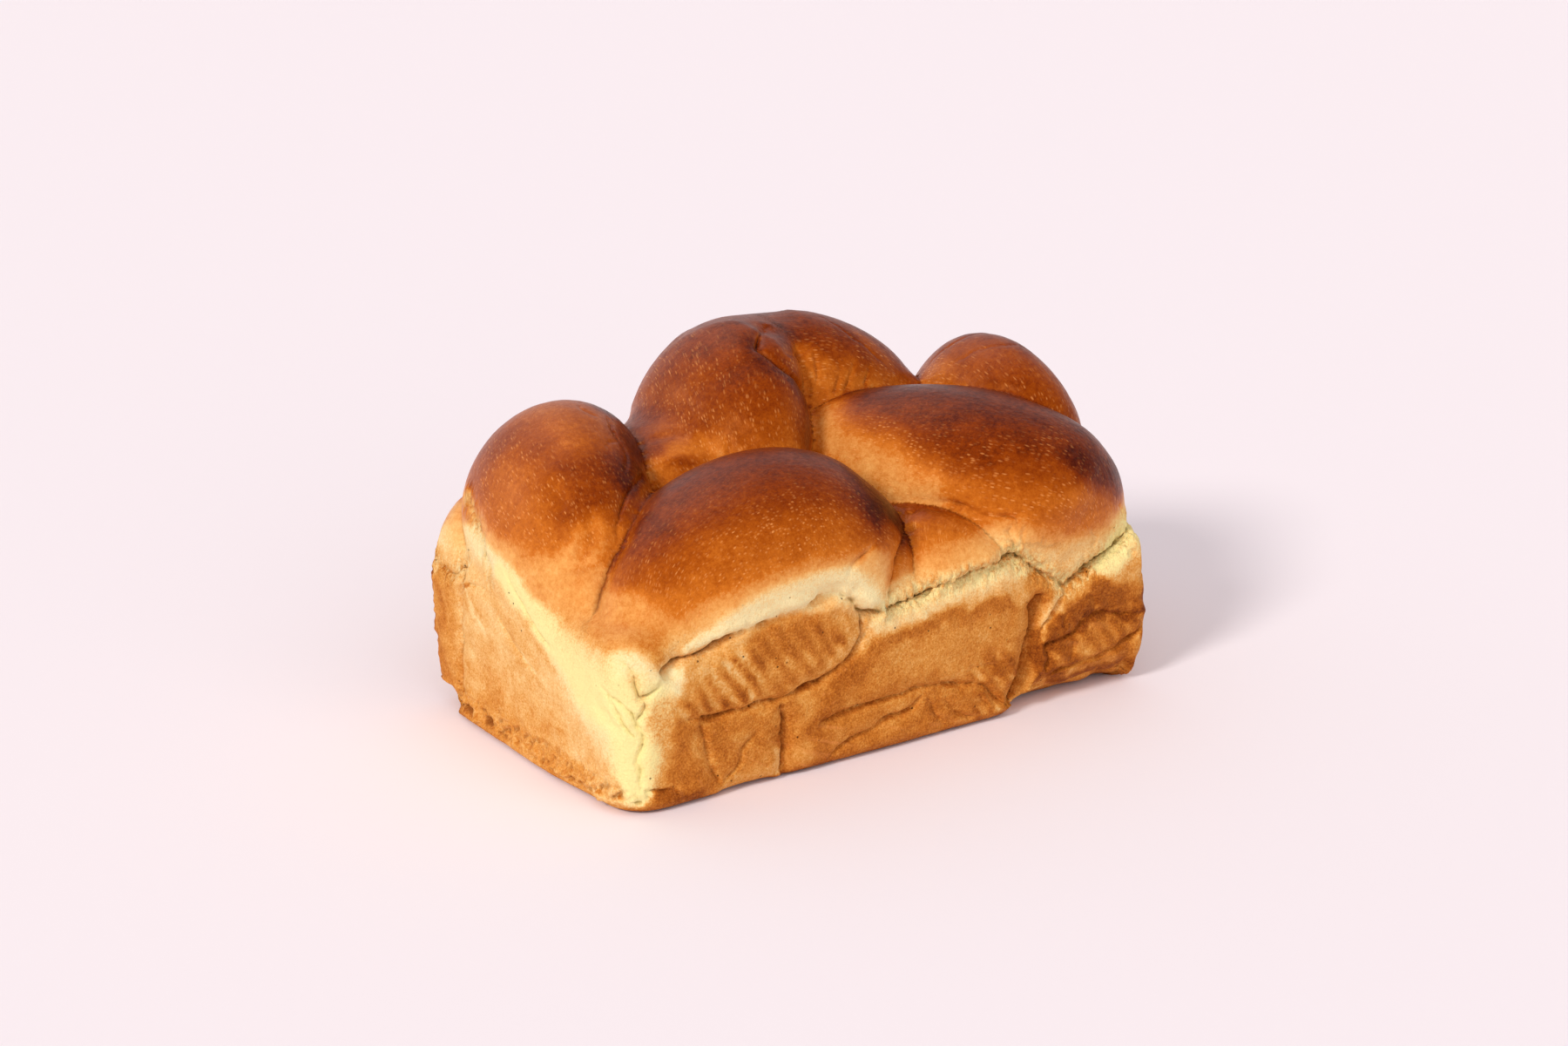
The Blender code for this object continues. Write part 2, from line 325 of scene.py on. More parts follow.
def upright_edges(bm):
    """The edges that run up the block's corners."""
    return [edge for edge in bm.edges if abs(edge.verts[0].co.z - edge.verts[1].co.z) > 1]


def core_mesh():
    """The dough under the ropes, with rounded corners, shoulder and foot."""
    top = WALLS[-1][0]
    bm = bmesh.new()
    bmesh.ops.create_cube(bm, size=2.0)
    for vert in bm.verts:
        vert.co.z = top if vert.co.z > 0 else 0.0
    for height in (row[0] for row in WALLS[1:-1]):
        geometry = bm.verts[:] + bm.edges[:] + bm.faces[:]
        bmesh.ops.bisect_plane(bm, geom=geometry, plane_co=(0, 0, height), plane_no=(0, 0, 1))
    for vert in bm.verts:
        left, right, front, back = wall_at(vert.co.z)
        vert.co.x *= left if vert.co.x < 0 else right
        vert.co.y *= front if vert.co.y < 0 else back
    near = [edge for edge in upright_edges(bm) if edge.verts[0].co.x < 0 and edge.verts[0].co.y < 0]
    bmesh.ops.bevel(bm, geom=near, offset=NEAR_CORNER, segments=6, profile=0.5, affect="EDGES")
    others = [edge for edge in upright_edges(bm) if edge.calc_face_angle(0) > 1.2]
    bmesh.ops.bevel(bm, geom=others, offset=OTHER_CORNERS, segments=5, profile=0.5, affect="EDGES")
    shoulder = [edge for edge in bm.edges if all(vert.co.z > top - 1 for vert in edge.verts)]
    bmesh.ops.bevel(bm, geom=shoulder, offset=SHOULDER, segments=5, profile=0.5, affect="EDGES")
    foot = [edge for edge in bm.edges if all(vert.co.z < 1 for vert in edge.verts)]
    bmesh.ops.bevel(bm, geom=foot, offset=FOOT, segments=3, profile=0.5, affect="EDGES")
    bmesh.ops.scale(bm, vec=(MM, MM, MM), verts=bm.verts)
    mesh = bpy.data.meshes.new("core")
    bm.to_mesh(mesh)
    bm.free()
    return mesh


core = core_mesh()
print("block faces:", len(core.polygons))

# %% [markdown]
# ## One skin over everything
#
# The ropes and the block overlap, and real dough has one skin. A Boolean union would keep every hard line where
# two shapes cross. A voxel remesh wraps all of them in one even net of small faces instead, and a little smoothing
# melts the steps that the voxels leave. The voxels are 1.8 mm, fine enough for the big swells; the folds get
# smaller faces later, only where they need them.

# %% Wrap the skin
SKIN_VOXEL = 1.8


def skin_over(meshes):
    """One closed mesh round all the given ones."""
    bm = bmesh.new()
    for mesh in meshes:
        bm.from_mesh(mesh)
    rough = bpy.data.meshes.new("rough")
    bm.to_mesh(rough)
    bm.free()
    holder = bpy.data.objects.new("holder", rough)
    bpy.context.scene.collection.objects.link(holder)
    net = holder.modifiers.new("net", "REMESH")
    net.mode = "VOXEL"
    net.voxel_size = SKIN_VOXEL * MM
    soft = holder.modifiers.new("soft", "SMOOTH")
    soft.factor = 0.5
    soft.iterations = 3
    bpy.context.view_layer.update()
    made = holder.evaluated_get(bpy.context.evaluated_depsgraph_get())
    skin = bpy.data.meshes.new_from_object(made)
    bpy.data.objects.remove(holder)
    bpy.data.meshes.remove(rough)
    return skin


skin = skin_over([core, *ropes.values()])
print("skin faces:", len(skin.polygons))

# %% [markdown]
# The walls of the tin stop the dough, so every point that would pass a wall is moved back to it. Above the rim the
# grip lets go over a couple of centimetres, and the risen dough leans out a few millimetres, as it does on any
# loaf. From here on the points live in numpy arrays, in millimetres, because moving tens of thousands of points
# one by one in Python is slow and arrays move them all at once.

# %% Press the skin into the tin
TIN_LENGTH, TIN_WIDTH, TIN_SLOPE, RIM_HEIGHT, OVERHANG = 211.0, 122.5, 0.015, 58.0, 5.0


def places_of(mesh):
    """A mesh's points as an array, in millimetres."""
    flat = np.empty(len(mesh.vertices) * 3)
    mesh.vertices.foreach_get("co", flat)
    return flat.reshape(-1, 3) / MM


def put_places(mesh, places):
    """Moves a mesh's points to the given places, in millimetres."""
    mesh.vertices.foreach_set("co", (places * MM).ravel())
    mesh.update()


def normals_of(mesh):
    """A mesh's normals as an array, one for each point."""
    flat = np.empty(len(mesh.vertices) * 3)
    mesh.vertex_normals.foreach_get("vector", flat)
    return flat.reshape(-1, 3)


def press_into_tin(places):
    """Flattens what would pass the tin's walls or its floor."""
    height = np.maximum(places[:, 2], 0)
    grip = np.clip((RIM_HEIGHT + 14 - height) / 28, 0, 1)
    for axis, size in ((0, TIN_LENGTH), (1, TIN_WIDTH)):
        half = size / 2 + TIN_SLOPE * height
        over = np.maximum(np.abs(places[:, axis]) - half, 0)
        kept = (1 - grip) * OVERHANG * np.tanh(over / OVERHANG)
        pressed = np.sign(places[:, axis]) * (half + kept)
        places[:, axis] = np.where(over > 0, pressed, places[:, axis])
    places[:, 2] = np.maximum(places[:, 2], 0)
    return places


put_places(skin, press_into_tin(places_of(skin)))
print("pressed loaf, mm:", np.ptp(places_of(skin), axis=0).round(1))

# %% [markdown]
# ## The folds
#
# Several kinds of line cross this crust. A *tear* runs where a risen rope pulled up out of the tin: it is deep and
# its lips are torn. A *seam* is where two pads of dough met in the tin and never joined. A *crease* is the skin
# puckering, and a *dimple* is only a soft hollow. They could be painted on with bump, but a bump casts no shadow
# and disappears at the outline, so they are pressed into the mesh. Each line has a few stations; a smooth curve
# runs through them and is laid on the skin. Stations are x along the loaf, y across it and z up, in millimetres.

# %% Name the folds
# For each kind: depth and half width of the sharp part, the same for the soft shoulders beside it, the height of
# the plump lips, and how far from its ends the fold reaches its full depth.
KINDS = {
    "tear": (3.6, 0.9, 3.0, 3.8, 0.3, 3.0),
    "seam": (2.4, 0.8, 1.8, 4.2, 0.5, 4.0),
    "crease": (0.95, 0.6, 0.75, 2.6, 0.25, 7.0),
    "pucker": (0.5, 0.5, 0.4, 1.7, 0.15, 6.0),
    "dimple": (0.0, 1.0, 1.2, 3.0, 0.2, 9.0),
    "tuck": (0.0, 1.0, 8.0, 8.0, 0.0, 8.0),
}
FOLDS = {
    "under_front_big": ("tear", 1.0, [
        (-90, -60, 46), (-84, -60, 50), (-73, -62, 52), (-63, -62, 54), (-54, -62, 56), (-42, -62, 57),
        (-30, -62, 59), (-24, -62, 59), (-18, -62, 55), (-14, -62, 51), (-6, -62, 50),
    ]),
    "under_front_under": ("tear", 0.75, [
        (-6, -62, 50), (-1, -62, 51), (8, -62, 53), (15, -62, 54), (23, -62, 54), (27, -62, 55), (34, -62, 55),
        (42, -62, 57), (46, -62, 58),
    ]),
    "under_right_big": ("tear", 0.85, [
        (44, -62, 58), (51, -62, 54), (60, -62, 48), (67, -62, 43), (70, -62, 42), (74, -62, 44), (81, -62, 47),
        (86, -62, 50), (94, -60, 54), (100, -52, 56), (103, -30, 57), (103, -8, 54), (103, 22, 55), (102, 48, 50),
    ]),
    "front_big_to_under": ("seam", 0.7, [
        (16, -45, 71), (9, -53, 69), (2, -58, 64), (-1, -60, 58), (-3, -60, 54), (-5, -61, 50),
    ]),
    "front_big_turn": ("crease", 0.8, [(-8, -60, 74), (-13, -62, 72), (-18, -64, 70), (-21, -64, 67), (-21, -64, 61)]),
    "pad_left": ("seam", 0.9, [
        (-14, -62, 51), (-14, -62, 47), (-15, -62, 41), (-19, -62, 36), (-25, -62, 33), (-34, -62, 30),
        (-42, -62, 29), (-49, -62, 29), (-59, -62, 28), (-70, -62, 28), (-77, -62, 29),
    ]),
    "pad_left_end": ("crease", 0.8, [(-72, -62, 28), (-77, -62, 29), (-82, -62, 30), (-87, -62, 30)]),
    "foot_left_middle": ("seam", 1.0, [(-46, -62, 28), (-44, -62, 21), (-44, -62, 15), (-44, -62, 9), (-45, -62, -2)]),
    "foot_left_crease": ("crease", 1.5, [(-77, -62, 30), (-75, -62, 22), (-73, -62, 15), (-71, -62, 9), (-68, -62, 2)]),
    "foot_left_fold": ("crease", 1.1, [(-70, -62, 1), (-65, -62, 7), (-61, -62, 11), (-60, -62, 15), (-54, -62, 20)]),
    "foot_left_pucker": ("pucker", 1.0, [(-63, -62, 9), (-57, -62, 7), (-51, -62, 7)]),
    "middle_left_strip": ("crease", 0.9, [(-10, -62, 50), (-12, -62, 46), (-14, -62, 41), (-16, -62, 37)]),
    "middle_long_fold": ("crease", 1.7, [
        (-32, -62, 17), (-24, -62, 17), (-14, -62, 18), (-6, -62, 18), (3, -62, 19), (11, -62, 19), (20, -62, 18),
        (28, -62, 16), (34, -62, 15), (38, -62, 12), (41, -62, 8), (44, -62, 5),
    ]),
    "middle_low_fold": ("crease", 1.5, [
        (-28, -62, 4), (-22, -62, 6), (-17, -62, 8), (-10, -62, 9), (-4, -62, 11), (2, -62, 12), (7, -62, 14),
        (11, -62, 18),
    ]),
    "middle_short_fold": ("pucker", 1.8, [(12, -62, 16), (15, -62, 10), (20, -62, 2)]),
    "middle_rib_one": ("pucker", 1.8, [(18, -62, 14), (24, -62, 8), (29, -62, 4), (34, -62, 4)]),
    "middle_rib_two": ("pucker", 1.6, [(32, -62, 14), (35, -62, 9), (38, -62, 5)]),
    "middle_rib_three": ("pucker", 1.4, [(-19, -62, 5), (-17, -62, 8), (-14, -62, 10)]),
    "middle_high_pucker": ("pucker", 0.9, [(27, -62, 22), (36, -62, 21), (43, -62, 20)]),
    "right_gap": ("seam", 2.1, [
        (60, -62, 41), (57, -62, 37), (56, -62, 31), (55, -62, 26), (54, -62, 20), (53, -62, 13), (50, -62, 7),
        (47, -62, -2),
    ]),
    "right_gap_flap": ("crease", 1.7, [(70, -62, 43), (66, -62, 37), (62, -62, 31), (58, -62, 26), (57, -62, 17)]),
    "right_pad_burn": ("crease", 1.5, [
        (104, -60, 25), (96, -62, 26), (88, -62, 28), (81, -62, 29), (76, -62, 27), (72, -62, 24), (66, -62, 23),
        (61, -62, 22), (62, -62, 18), (61, -62, 14), (63, -62, 10),
    ]),
    "right_pad_low": ("crease", 1.5, [
        (104, -60, 21), (99, -62, 18), (93, -62, 16), (87, -62, 14), (79, -62, 13), (72, -62, 12), (66, -62, 12),
        (60, -62, 9), (57, -62, 6),
    ]),
    "right_pad_left": ("pucker", 1.8, [(71, -62, 24), (72, -62, 18), (70, -62, 13)]),
    "right_pad_wrinkle": ("pucker", 1.6, [(82, -62, 30), (80, -62, 35), (76, -62, 38)]),
    "right_pad_wrinkle_two": ("pucker", 1.4, [(70, -62, 24), (68, -62, 29), (70, -62, 33)]),
    "left_foot_lift": ("tuck", 0.15, [(-70, -62, -3), (-58, -62, -3), (-46, -62, -3)]),
    "right_foot": ("tuck", 0.9, [(54, -62, -2), (78, -62, -2), (104, -60, -2)]),
    "near_corner_upright": ("crease", 1.4, [
        (-98, -60, 42), (-96, -60, 37), (-99, -60, 32), (-97, -60, 26), (-99, -60, 20), (-98, -60, 13), (-99, -60, 5),
    ]),
    "near_corner_wrinkle": ("pucker", 1.5, [(-104, -50, 44), (-102, -54, 36), (-101, -57, 30), (-99, -60, 26)]),
    "near_corner_lump_low": ("dimple", 1.3, [(-105, -44, 38), (-103, -50, 33), (-101, -56, 27)]),
    "near_corner_foot": ("crease", 1.2, [(-100, -58, 9), (-95, -61, 8), (-90, -62, 8), (-84, -62, 6)]),
    "near_corner_lump": ("crease", 1.9, [
        (-102, -54, 56), (-100, -59, 49), (-99, -60, 44), (-98, -60, 41), (-96, -60, 41), (-94, -60, 42),
        (-88, -60, 48),
    ]),
    "left_end_step": ("pucker", 1.3, [
        (-105, 8, 66), (-106, 4, 61), (-106, 1, 58), (-106, -4, 54), (-106, -9, 50), (-106, -15, 47), (-106, -22, 45),
    ]),
    "near_corner_fold": ("crease", 1.2, [(-104, -48, 44), (-102, -56, 38), (-100, -60, 34), (-96, -61, 28)]),
    "left_end_upright": ("seam", 0.8, [(-105, 38, 55), (-105, 39, 46), (-105, 41, 33), (-105, 43, 17), (-104, 45, -2)]),
    "left_end_dark": ("pucker", 1.2, [(-105, 38, 50), (-105, 30, 51), (-105, 20, 53)]),
    "left_end_lower_line": ("pucker", 1.0, [(-106, 14, 47), (-106, 8, 42), (-106, 0, 37), (-106, -12, 32)]),
    "left_end_strand": ("tear", 0.6, [(-103, 42, 78), (-104, 32, 73), (-105, 25, 68), (-105, 18, 58)]),
    "left_end_strand_low": ("tear", 0.5, [(-103, 60, 52), (-104, 50, 50), (-104, 43, 51), (-104, 38, 58)]),
    "left_to_front": ("seam", 0.45, [
        (-57, 2, 87), (-66, -6, 88), (-72, -12, 88), (-75, -15, 86), (-79, -19, 83), (-82, -25, 79),
        (-87, -27, 75), (-91, -29, 71), (-96, -31, 65),
    ]),
    "left_to_front_low": ("crease", 0.4, [(-92, -29, 70), (-97, -34, 62), (-100, -41, 58), (-102, -48, 56)]),
    "left_dimple_high": ("dimple", 0.7, [(-89, 6, 92), (-92, -5, 87), (-96, -8, 83)]),
    "left_dimple_turn": ("dimple", 0.9, [(-84, -12, 87), (-89, -18, 80), (-93, -20, 77), (-100, -18, 70)]),
    "left_dimple_low": ("dimple", 0.7, [(-102, -14, 69), (-95, -21, 72), (-88, -26, 75)]),
    "left_skin_fold": ("pucker", 0.8, [(-88, -15, 83), (-90, -19, 79), (-96, -20, 73)]),
    "left_tuck": ("crease", 0.7, [(-78, -16, 86), (-81, -21, 81), (-82, -25, 79), (-87, -27, 74)]),
    "left_high_fold": ("pucker", 0.7, [(-58, 26, 100), (-64, 14, 96), (-64, 4, 93), (-71, -5, 90)]),
    "left_crackle_one": ("pucker", 0.6, [(-52, 34, 102), (-57, 24, 100), (-56, 16, 97)]),
    "left_crackle_two": ("pucker", 0.6, [(-60, 36, 104), (-66, 26, 102), (-64, 20, 100)]),
    "left_crackle_three": ("pucker", 0.5, [(-60, 12, 96), (-68, 8, 96), (-74, 0, 93)]),
    "middle_fold": ("seam", 0.75, [
        (12, 31, 120), (3, 23, 120), (0, 20, 119), (-2, 16, 118), (0, 12, 115), (2, 10, 113), (6, 8, 109),
        (11, 10, 103), (18, 14, 98),
    ]),
    "middle_fold_ridge": ("crease", 0.3, [(4, 13, 115), (10, 17, 112), (17, 20, 111), (26, 24, 112)]),
    "under_wrinkle_one": ("pucker", 1.0, [(23, 21, 111), (22, 18, 105), (19, 14, 99)]),
    "under_wrinkle_two": ("pucker", 1.2, [(31, 18, 107), (28, 14, 101), (25, 12, 96)]),
    "under_wrinkle_three": ("pucker", 1.3, [(38, 18, 106), (33, 13, 102), (29, 11, 97)]),
    "under_wrinkle_four": ("pucker", 1.2, [(44, 18, 104), (40, 13, 101), (36, 10, 97)]),
    "under_crest_line": ("pucker", 0.4, [(34, 36, 118), (38, 28, 116), (41, 23, 113), (46, 19, 109), (54, 14, 103)]),
    "middle_pull_one": ("dimple", 0.7, [(-20, 5, 96), (-18, -1, 93), (-15, -6, 89)]),
    "middle_pull_two": ("dimple", 0.7, [(-31, 12, 94), (-30, 5, 90), (-30, -1, 87)]),
    "middle_low_turn": ("dimple", 0.7, [(-46, 20, 92), (-38, 17, 91), (-33, 10, 91)]),
    "middle_low_pleat": ("pucker", 1.2, [(-30, 12, 93), (-31, 7, 90), (-33, 4, 87)]),
    "middle_low_pleat_two": ("pucker", 1.1, [(-24, 4, 95), (-26, 0, 92), (-28, -4, 89)]),
    "right_end_fold": ("crease", 0.3, [(62, 34, 92), (72, 22, 102), (84, 12, 106), (96, 6, 98)]),
    "right_end_fold_two": ("pucker", 0.5, [(70, 8, 100), (82, -2, 103), (94, -8, 95)]),
    "over_front_under": ("seam", 0.55, [
        (16, -40, 73), (19, -41, 74), (23, -41, 75), (26, -44, 75), (29, -46, 75), (33, -50, 74), (36, -53, 72),
        (40, -57, 71),
    ]),
    "over_front_under_end": ("crease", 1.2, [(37, -55, 71), (43, -58, 71), (47, -60, 70), (48, -61, 66)]),
    "right_big_tuck": ("crease", 1.3, [(47, -61, 70), (44, -61, 66), (45, -61, 62), (49, -60, 56)]),
    "right_big_tuck_two": ("pucker", 1.4, [(52, -61, 68), (49, -61, 64), (52, -60, 57)]),
    "right_big_dent": ("pucker", 1.5, [(77, -62, 61), (81, -61, 56), (78, -61, 51)]),
    "right_big_dent_two": ("pucker", 1.3, [(90, -56, 66), (93, -54, 62), (94, -53, 58)]),
    "right_top_fold": ("crease", 1.0, [(92, -58, 52), (97, -56, 47), (99, -54, 40), (104, -46, 34)]),
    "back_tear": ("tear", 0.9, [
        (-92, 62, 50), (-70, 62, 55), (-50, 62, 56), (-30, 62, 52), (-20, 62, 50), (-4, 62, 54), (20, 62, 56),
        (48, 62, 53), (70, 62, 56), (92, 60, 52),
    ]),
    "back_pad_seam": ("seam", 1.2, [(-22, 62, 51), (-18, 62, 38), (-23, 62, 22), (-19, 62, -2)]),
    "back_pad_curve": ("seam", 0.8, [(92, 62, 46), (80, 62, 36), (64, 62, 30), (46, 62, 34), (30, 62, 44), (22, 62, 54)]),
    "back_low_crease": ("crease", 1.2, [(-84, 62, 24), (-62, 62, 16), (-44, 62, 18), (-26, 62, 11)]),
    "back_long_crease": ("crease", 1.3, [(6, 62, 20), (30, 62, 12), (52, 62, 14), (76, 62, 9), (100, 62, 12)]),
    "back_short_crease": ("crease", 1.2, [(40, 62, 28), (44, 62, 20), (40, 62, 12), (44, 62, 2)]),
    "right_end_seam": ("seam", 1.0, [(104, -14, 54), (105, -10, 38), (105, -16, 20), (103, -12, -2)]),
    "right_end_crease": ("crease", 1.3, [(105, -54, 25), (105, -36, 20), (105, -18, 23)]),
    "right_end_low": ("crease", 1.2, [(105, -2, 13), (105, 22, 18), (105, 46, 10)]),
}
print(len(FOLDS), "folds:", {kind: sum(fold[0] == kind for fold in FOLDS.values()) for kind in KINDS})


# %% Lay the folds on the skin
def surface_tree(mesh):
    """A search tree over a mesh's faces."""
    bm = bmesh.new()
    bm.from_mesh(mesh)
    tree = BVHTree.FromBMesh(bm)
    bm.free()
    return tree


def laid_route(tree, stations, step=0.5):
    """Points every half millimetre along a smooth curve through the stations, laid on the skin."""
    length = sum((Vector(b) - Vector(a)).length for a, b in zip(stations, stations[1:]))
    count = max(2, round(length / step))
    curve = (Vector(smooth_route(stations, index / count)) * MM for index in range(count + 1))
    return np.array([tuple(tree.find_nearest(point)[0]) for point in curve]) / MM


def distance_to(tree, places, far=16.0):
    """How far each place is from a shape, in millimetres, up to a limit."""
    found = (tree.find_nearest(Vector(place) * MM, far * MM) for place in places)
    return np.array([far if hit[3] is None else hit[3] / MM for hit in found])


tree = surface_tree(skin)
rope_trees = {name: surface_tree(rope) for name, rope in ropes.items()}
routes = {name: laid_route(tree, fold[2]) for name, fold in FOLDS.items()}
print("fold length, mm:", round(sum(len(route) for route in routes.values()) * 0.5))

# %% [markdown]
# A sharp fold needs faces smaller than itself. Making the whole loaf that fine would take millions of them, so the
# faces are split in four only near a fold, and split once more right beside it. Splitting alone leaves flat
# facets, so the new points are eased towards the middle of their neighbours afterwards.

#
# Two pairs of ropes are really one piece of dough under one skin: there the dip between them is eased away first.

# %% Split the faces near the folds
def neighbour_pairs(mesh):
    """The two ends of every edge, as an array."""
    pairs = np.empty(len(mesh.edges) * 2, int)
    mesh.edges.foreach_get("vertices", pairs)
    return pairs.reshape(-1, 2)


def eased(values, pairs, rounds, chosen=None):
    """Values moved towards the mean of their neighbours, round after round, at the chosen points."""
    count = len(values)
    share = np.bincount(pairs.ravel(), minlength=count)[:, None]
    values = values.reshape(count, -1).copy()
    moves = np.ones(count, bool) if chosen is None else chosen
    for _ in range(rounds):
        total = np.zeros_like(values)
        for column in range(values.shape[1]):
            total[:, column] += np.bincount(pairs[:, 0], values[pairs[:, 1], column], count)
            total[:, column] += np.bincount(pairs[:, 1], values[pairs[:, 0], column], count)
        values[moves] += 0.5 * (total / np.maximum(share, 1) - values)[moves]
    return values


def split_near(mesh, points, reach):
    """Splits in four every face within reach of the points."""
    tree = KDTree(len(points))
    for index, point in enumerate(points):
        tree.insert(Vector(point) * MM, index)
    tree.balance()
    bm = bmesh.new()
    bm.from_mesh(mesh)
    before = len(bm.verts)
    close = [face for face in bm.faces if tree.find(face.calc_center_median())[2] < reach * MM]
    edges = list({edge for face in close for edge in face.edges})
    bmesh.ops.subdivide_edges(bm, edges=edges, cuts=1, use_grid_fill=True)
    bmesh.ops.triangulate(bm, faces=[face for face in bm.faces if len(face.verts) > 4])
    bm.verts.index_update()
    bm.to_mesh(mesh)
    bm.free()
    fresh = np.arange(len(mesh.vertices)) >= before
    grown = fresh.copy()
    pairs = neighbour_pairs(mesh)
    grown[pairs[fresh[pairs].any(axis=1)].ravel()] = True
    put_places(mesh, eased(places_of(mesh), pairs, 2, grown))


places = places_of(skin)
pairs = neighbour_pairs(skin)
away = {name: distance_to(rope_trees[name], places) for name in ropes}
others = [name for name in ropes if name not in ("back_middle", "back_under", "left_valley")]
alone = fade(1.0, 5.0, np.min([away[name] for name in others], axis=0))
for partner, low_end in (("left_valley", 84), ("back_under", 113)):
    dip = np.maximum(away["back_middle"], away[partner])
    chosen = (dip < 9.0) & (alone > 0.5) & (places[:, 2] > low_end)
    places = eased(places, pairs, 60, chosen)
    print("eased between back_middle and", partner + ":", int(chosen.sum()), "points")
put_places(skin, places)
apart = np.sort(np.array(list(away.values())), axis=0)[1]
valley_points = places[(apart < 2.2) & (places[:, 2] > 56)]

every_route = np.concatenate(list(routes.values()))
sharp_routes = np.concatenate([routes[name] for name, fold in FOLDS.items() if KINDS[fold[0]][0] > 0])
ragged_foot = np.array([(-104, y, z) for y in range(-54, 60, 2) for z in (0, 4, 8, 12)], float)
ragged_edge = np.array([(-105, 60, z) for z in range(2, 52, 2)], float)
ragged = np.concatenate([ragged_foot, ragged_edge])
split_near(skin, np.concatenate([every_route[::3], ragged]), 6.0)
split_near(skin, valley_points, 2.6)
split_near(skin, ragged, 3.0)
split_near(skin, sharp_routes[::2], 2.0)
put_places(skin, press_into_tin(places_of(skin)))
print("skin triangles after splitting:", sum(len(face.vertices) - 2 for face in skin.polygons))

# %% [markdown]
# ## Where one rope meets the next
#
# Between two ropes the skin dips, and the voxels have rounded that dip. To sharpen it, each point asks how far it
# is from every rope: a point that is close to two of them is in a valley. The distances are kept. A valley is less
# brown, being shielded from the heat, and the nearest rope tells which way the skin was stretched.

# %% Measure and sharpen the valleys
places = places_of(skin)
away_from_rope = {name: distance_to(rope_trees[name], places) for name in ropes}
away_from_rope["back_middle"] = np.minimum(away_from_rope["back_middle"], away_from_rope.pop("left_valley"))
away_from_rope.pop("right_strip")
owner = np.array(list(away_from_rope))[np.array(list(away_from_rope.values())).argmin(axis=0)]
joined = {**away_from_rope, "back_under": away_from_rope["back_under"] + 9.0 * fade(111, 117, places[:, 2])}
apart = np.sort(np.array(list(joined.values())), axis=0)[1]
above_tin = fade(54, 64, places[:, 2])
valley = np.exp(-apart / 5.0) * above_tin
# The narrow bottom of each dip between ropes, where shade is painted later.
valley_shade_line = np.exp(-((apart / 0.7) ** 2)) * above_tin
places -= normals_of(skin) * (2.5 * np.exp(-((apart / 1.4) ** 1.3)) * above_tin)[:, None]
put_places(skin, places)
print("points in a valley:", int((valley > 0.5).sum()))

# %% [markdown]
# Steam blisters and stretch marks follow the rope they are on. For that each point gets two more numbers: how far
# along its own rope it lies, and how far round it. A pattern drawn in those two numbers runs along the rope
# however it turns.

# %% Find each point's place on its own rope
ROPE_GIRTH = 30.0  # a usual radius of a rope, which turns an angle into millimetres


def place_on_rope(places, stations):
    """How far along its rope and how far round it each place is, in millimetres."""
    middle = np.array([smooth_route(stations, index / 160)[:3] for index in range(161)])
    ahead = np.gradient(middle, axis=0)
    ahead /= np.linalg.norm(ahead, axis=1)[:, None]
    side = np.cross((0.0, 0.0, 1.0), ahead)
    side /= np.linalg.norm(side, axis=1)[:, None]
    up = np.cross(ahead, side)
    along = np.concatenate([[0], np.cumsum(np.linalg.norm(np.diff(middle, axis=0), axis=1))])
    tree = KDTree(len(middle))
    for index, point in enumerate(middle):
        tree.insert(Vector(point), index)
    tree.balance()
    nearest = np.array([tree.find(Vector(place))[1] for place in places])
    offset = places - middle[nearest]
    turn = np.arctan2((offset * up[nearest]).sum(axis=1), (offset * side[nearest]).sum(axis=1))
    return along[nearest] + (offset * ahead[nearest]).sum(axis=1), turn * ROPE_GIRTH


strand = np.zeros((len(places), 3))
for number_of_rope, name in enumerate(away_from_rope):
    mine = np.nonzero(owner == name)[0]
    if len(mine):
        along, around = place_on_rope(places[mine], ROPES[name])
        strand[mine] = np.stack([along, around, np.full(len(mine), 50.0 * number_of_rope)], axis=1)
print("points on each rope:", {name: int((owner == name).sum()) for name in away_from_rope})

# %% [markdown]
# Next come the folds. How deep a point sinks depends only on its distance from the fold: a narrow sharp part in
# the middle, a broad soft shoulder beside it and a slight lip between them, which is what makes the pads of dough
# look plump. Dough never folds in a clean line, so the distance is measured from a place nudged by a slow noise,
# the depth comes and goes along the line, and a crease fades out at its ends.

# %% Press the folds in
def wander(places, size, seed):
    """A smooth random push for each place, from -1 to 1 on each axis, that changes over the given size."""
    offset = Vector((seed * 7.3, seed * 3.1, seed * 5.7))
    return np.array([tuple(noise.noise_vector(Vector(place) / size + offset)) for place in places])


def grain(places, size, seed):
    """A smooth random number from -1 to 1 for each place, that changes over the given size."""
    offset = Vector((seed * 7.3, seed * 3.1, seed * 5.7))
    return np.array([noise.noise(Vector(place) / size + offset) for place in places])


def near_route(places, route, reach):
    """The places within reach of a route, how far from it each is, and how far from its nearer end."""
    low, high = route.min(axis=0) - reach, route.max(axis=0) + reach
    inside = np.nonzero(((places > low) & (places < high)).all(axis=1))[0]
    tree = KDTree(len(route))
    for index, point in enumerate(route):
        tree.insert(Vector(point), index)
    tree.balance()
    found = [tree.find(Vector(place))[1:] for place in places[inside]]
    nearest = np.array([hit[0] for hit in found])
    return inside, np.array([hit[1] for hit in found]), np.minimum(nearest, len(route) - 1 - nearest) * 0.5


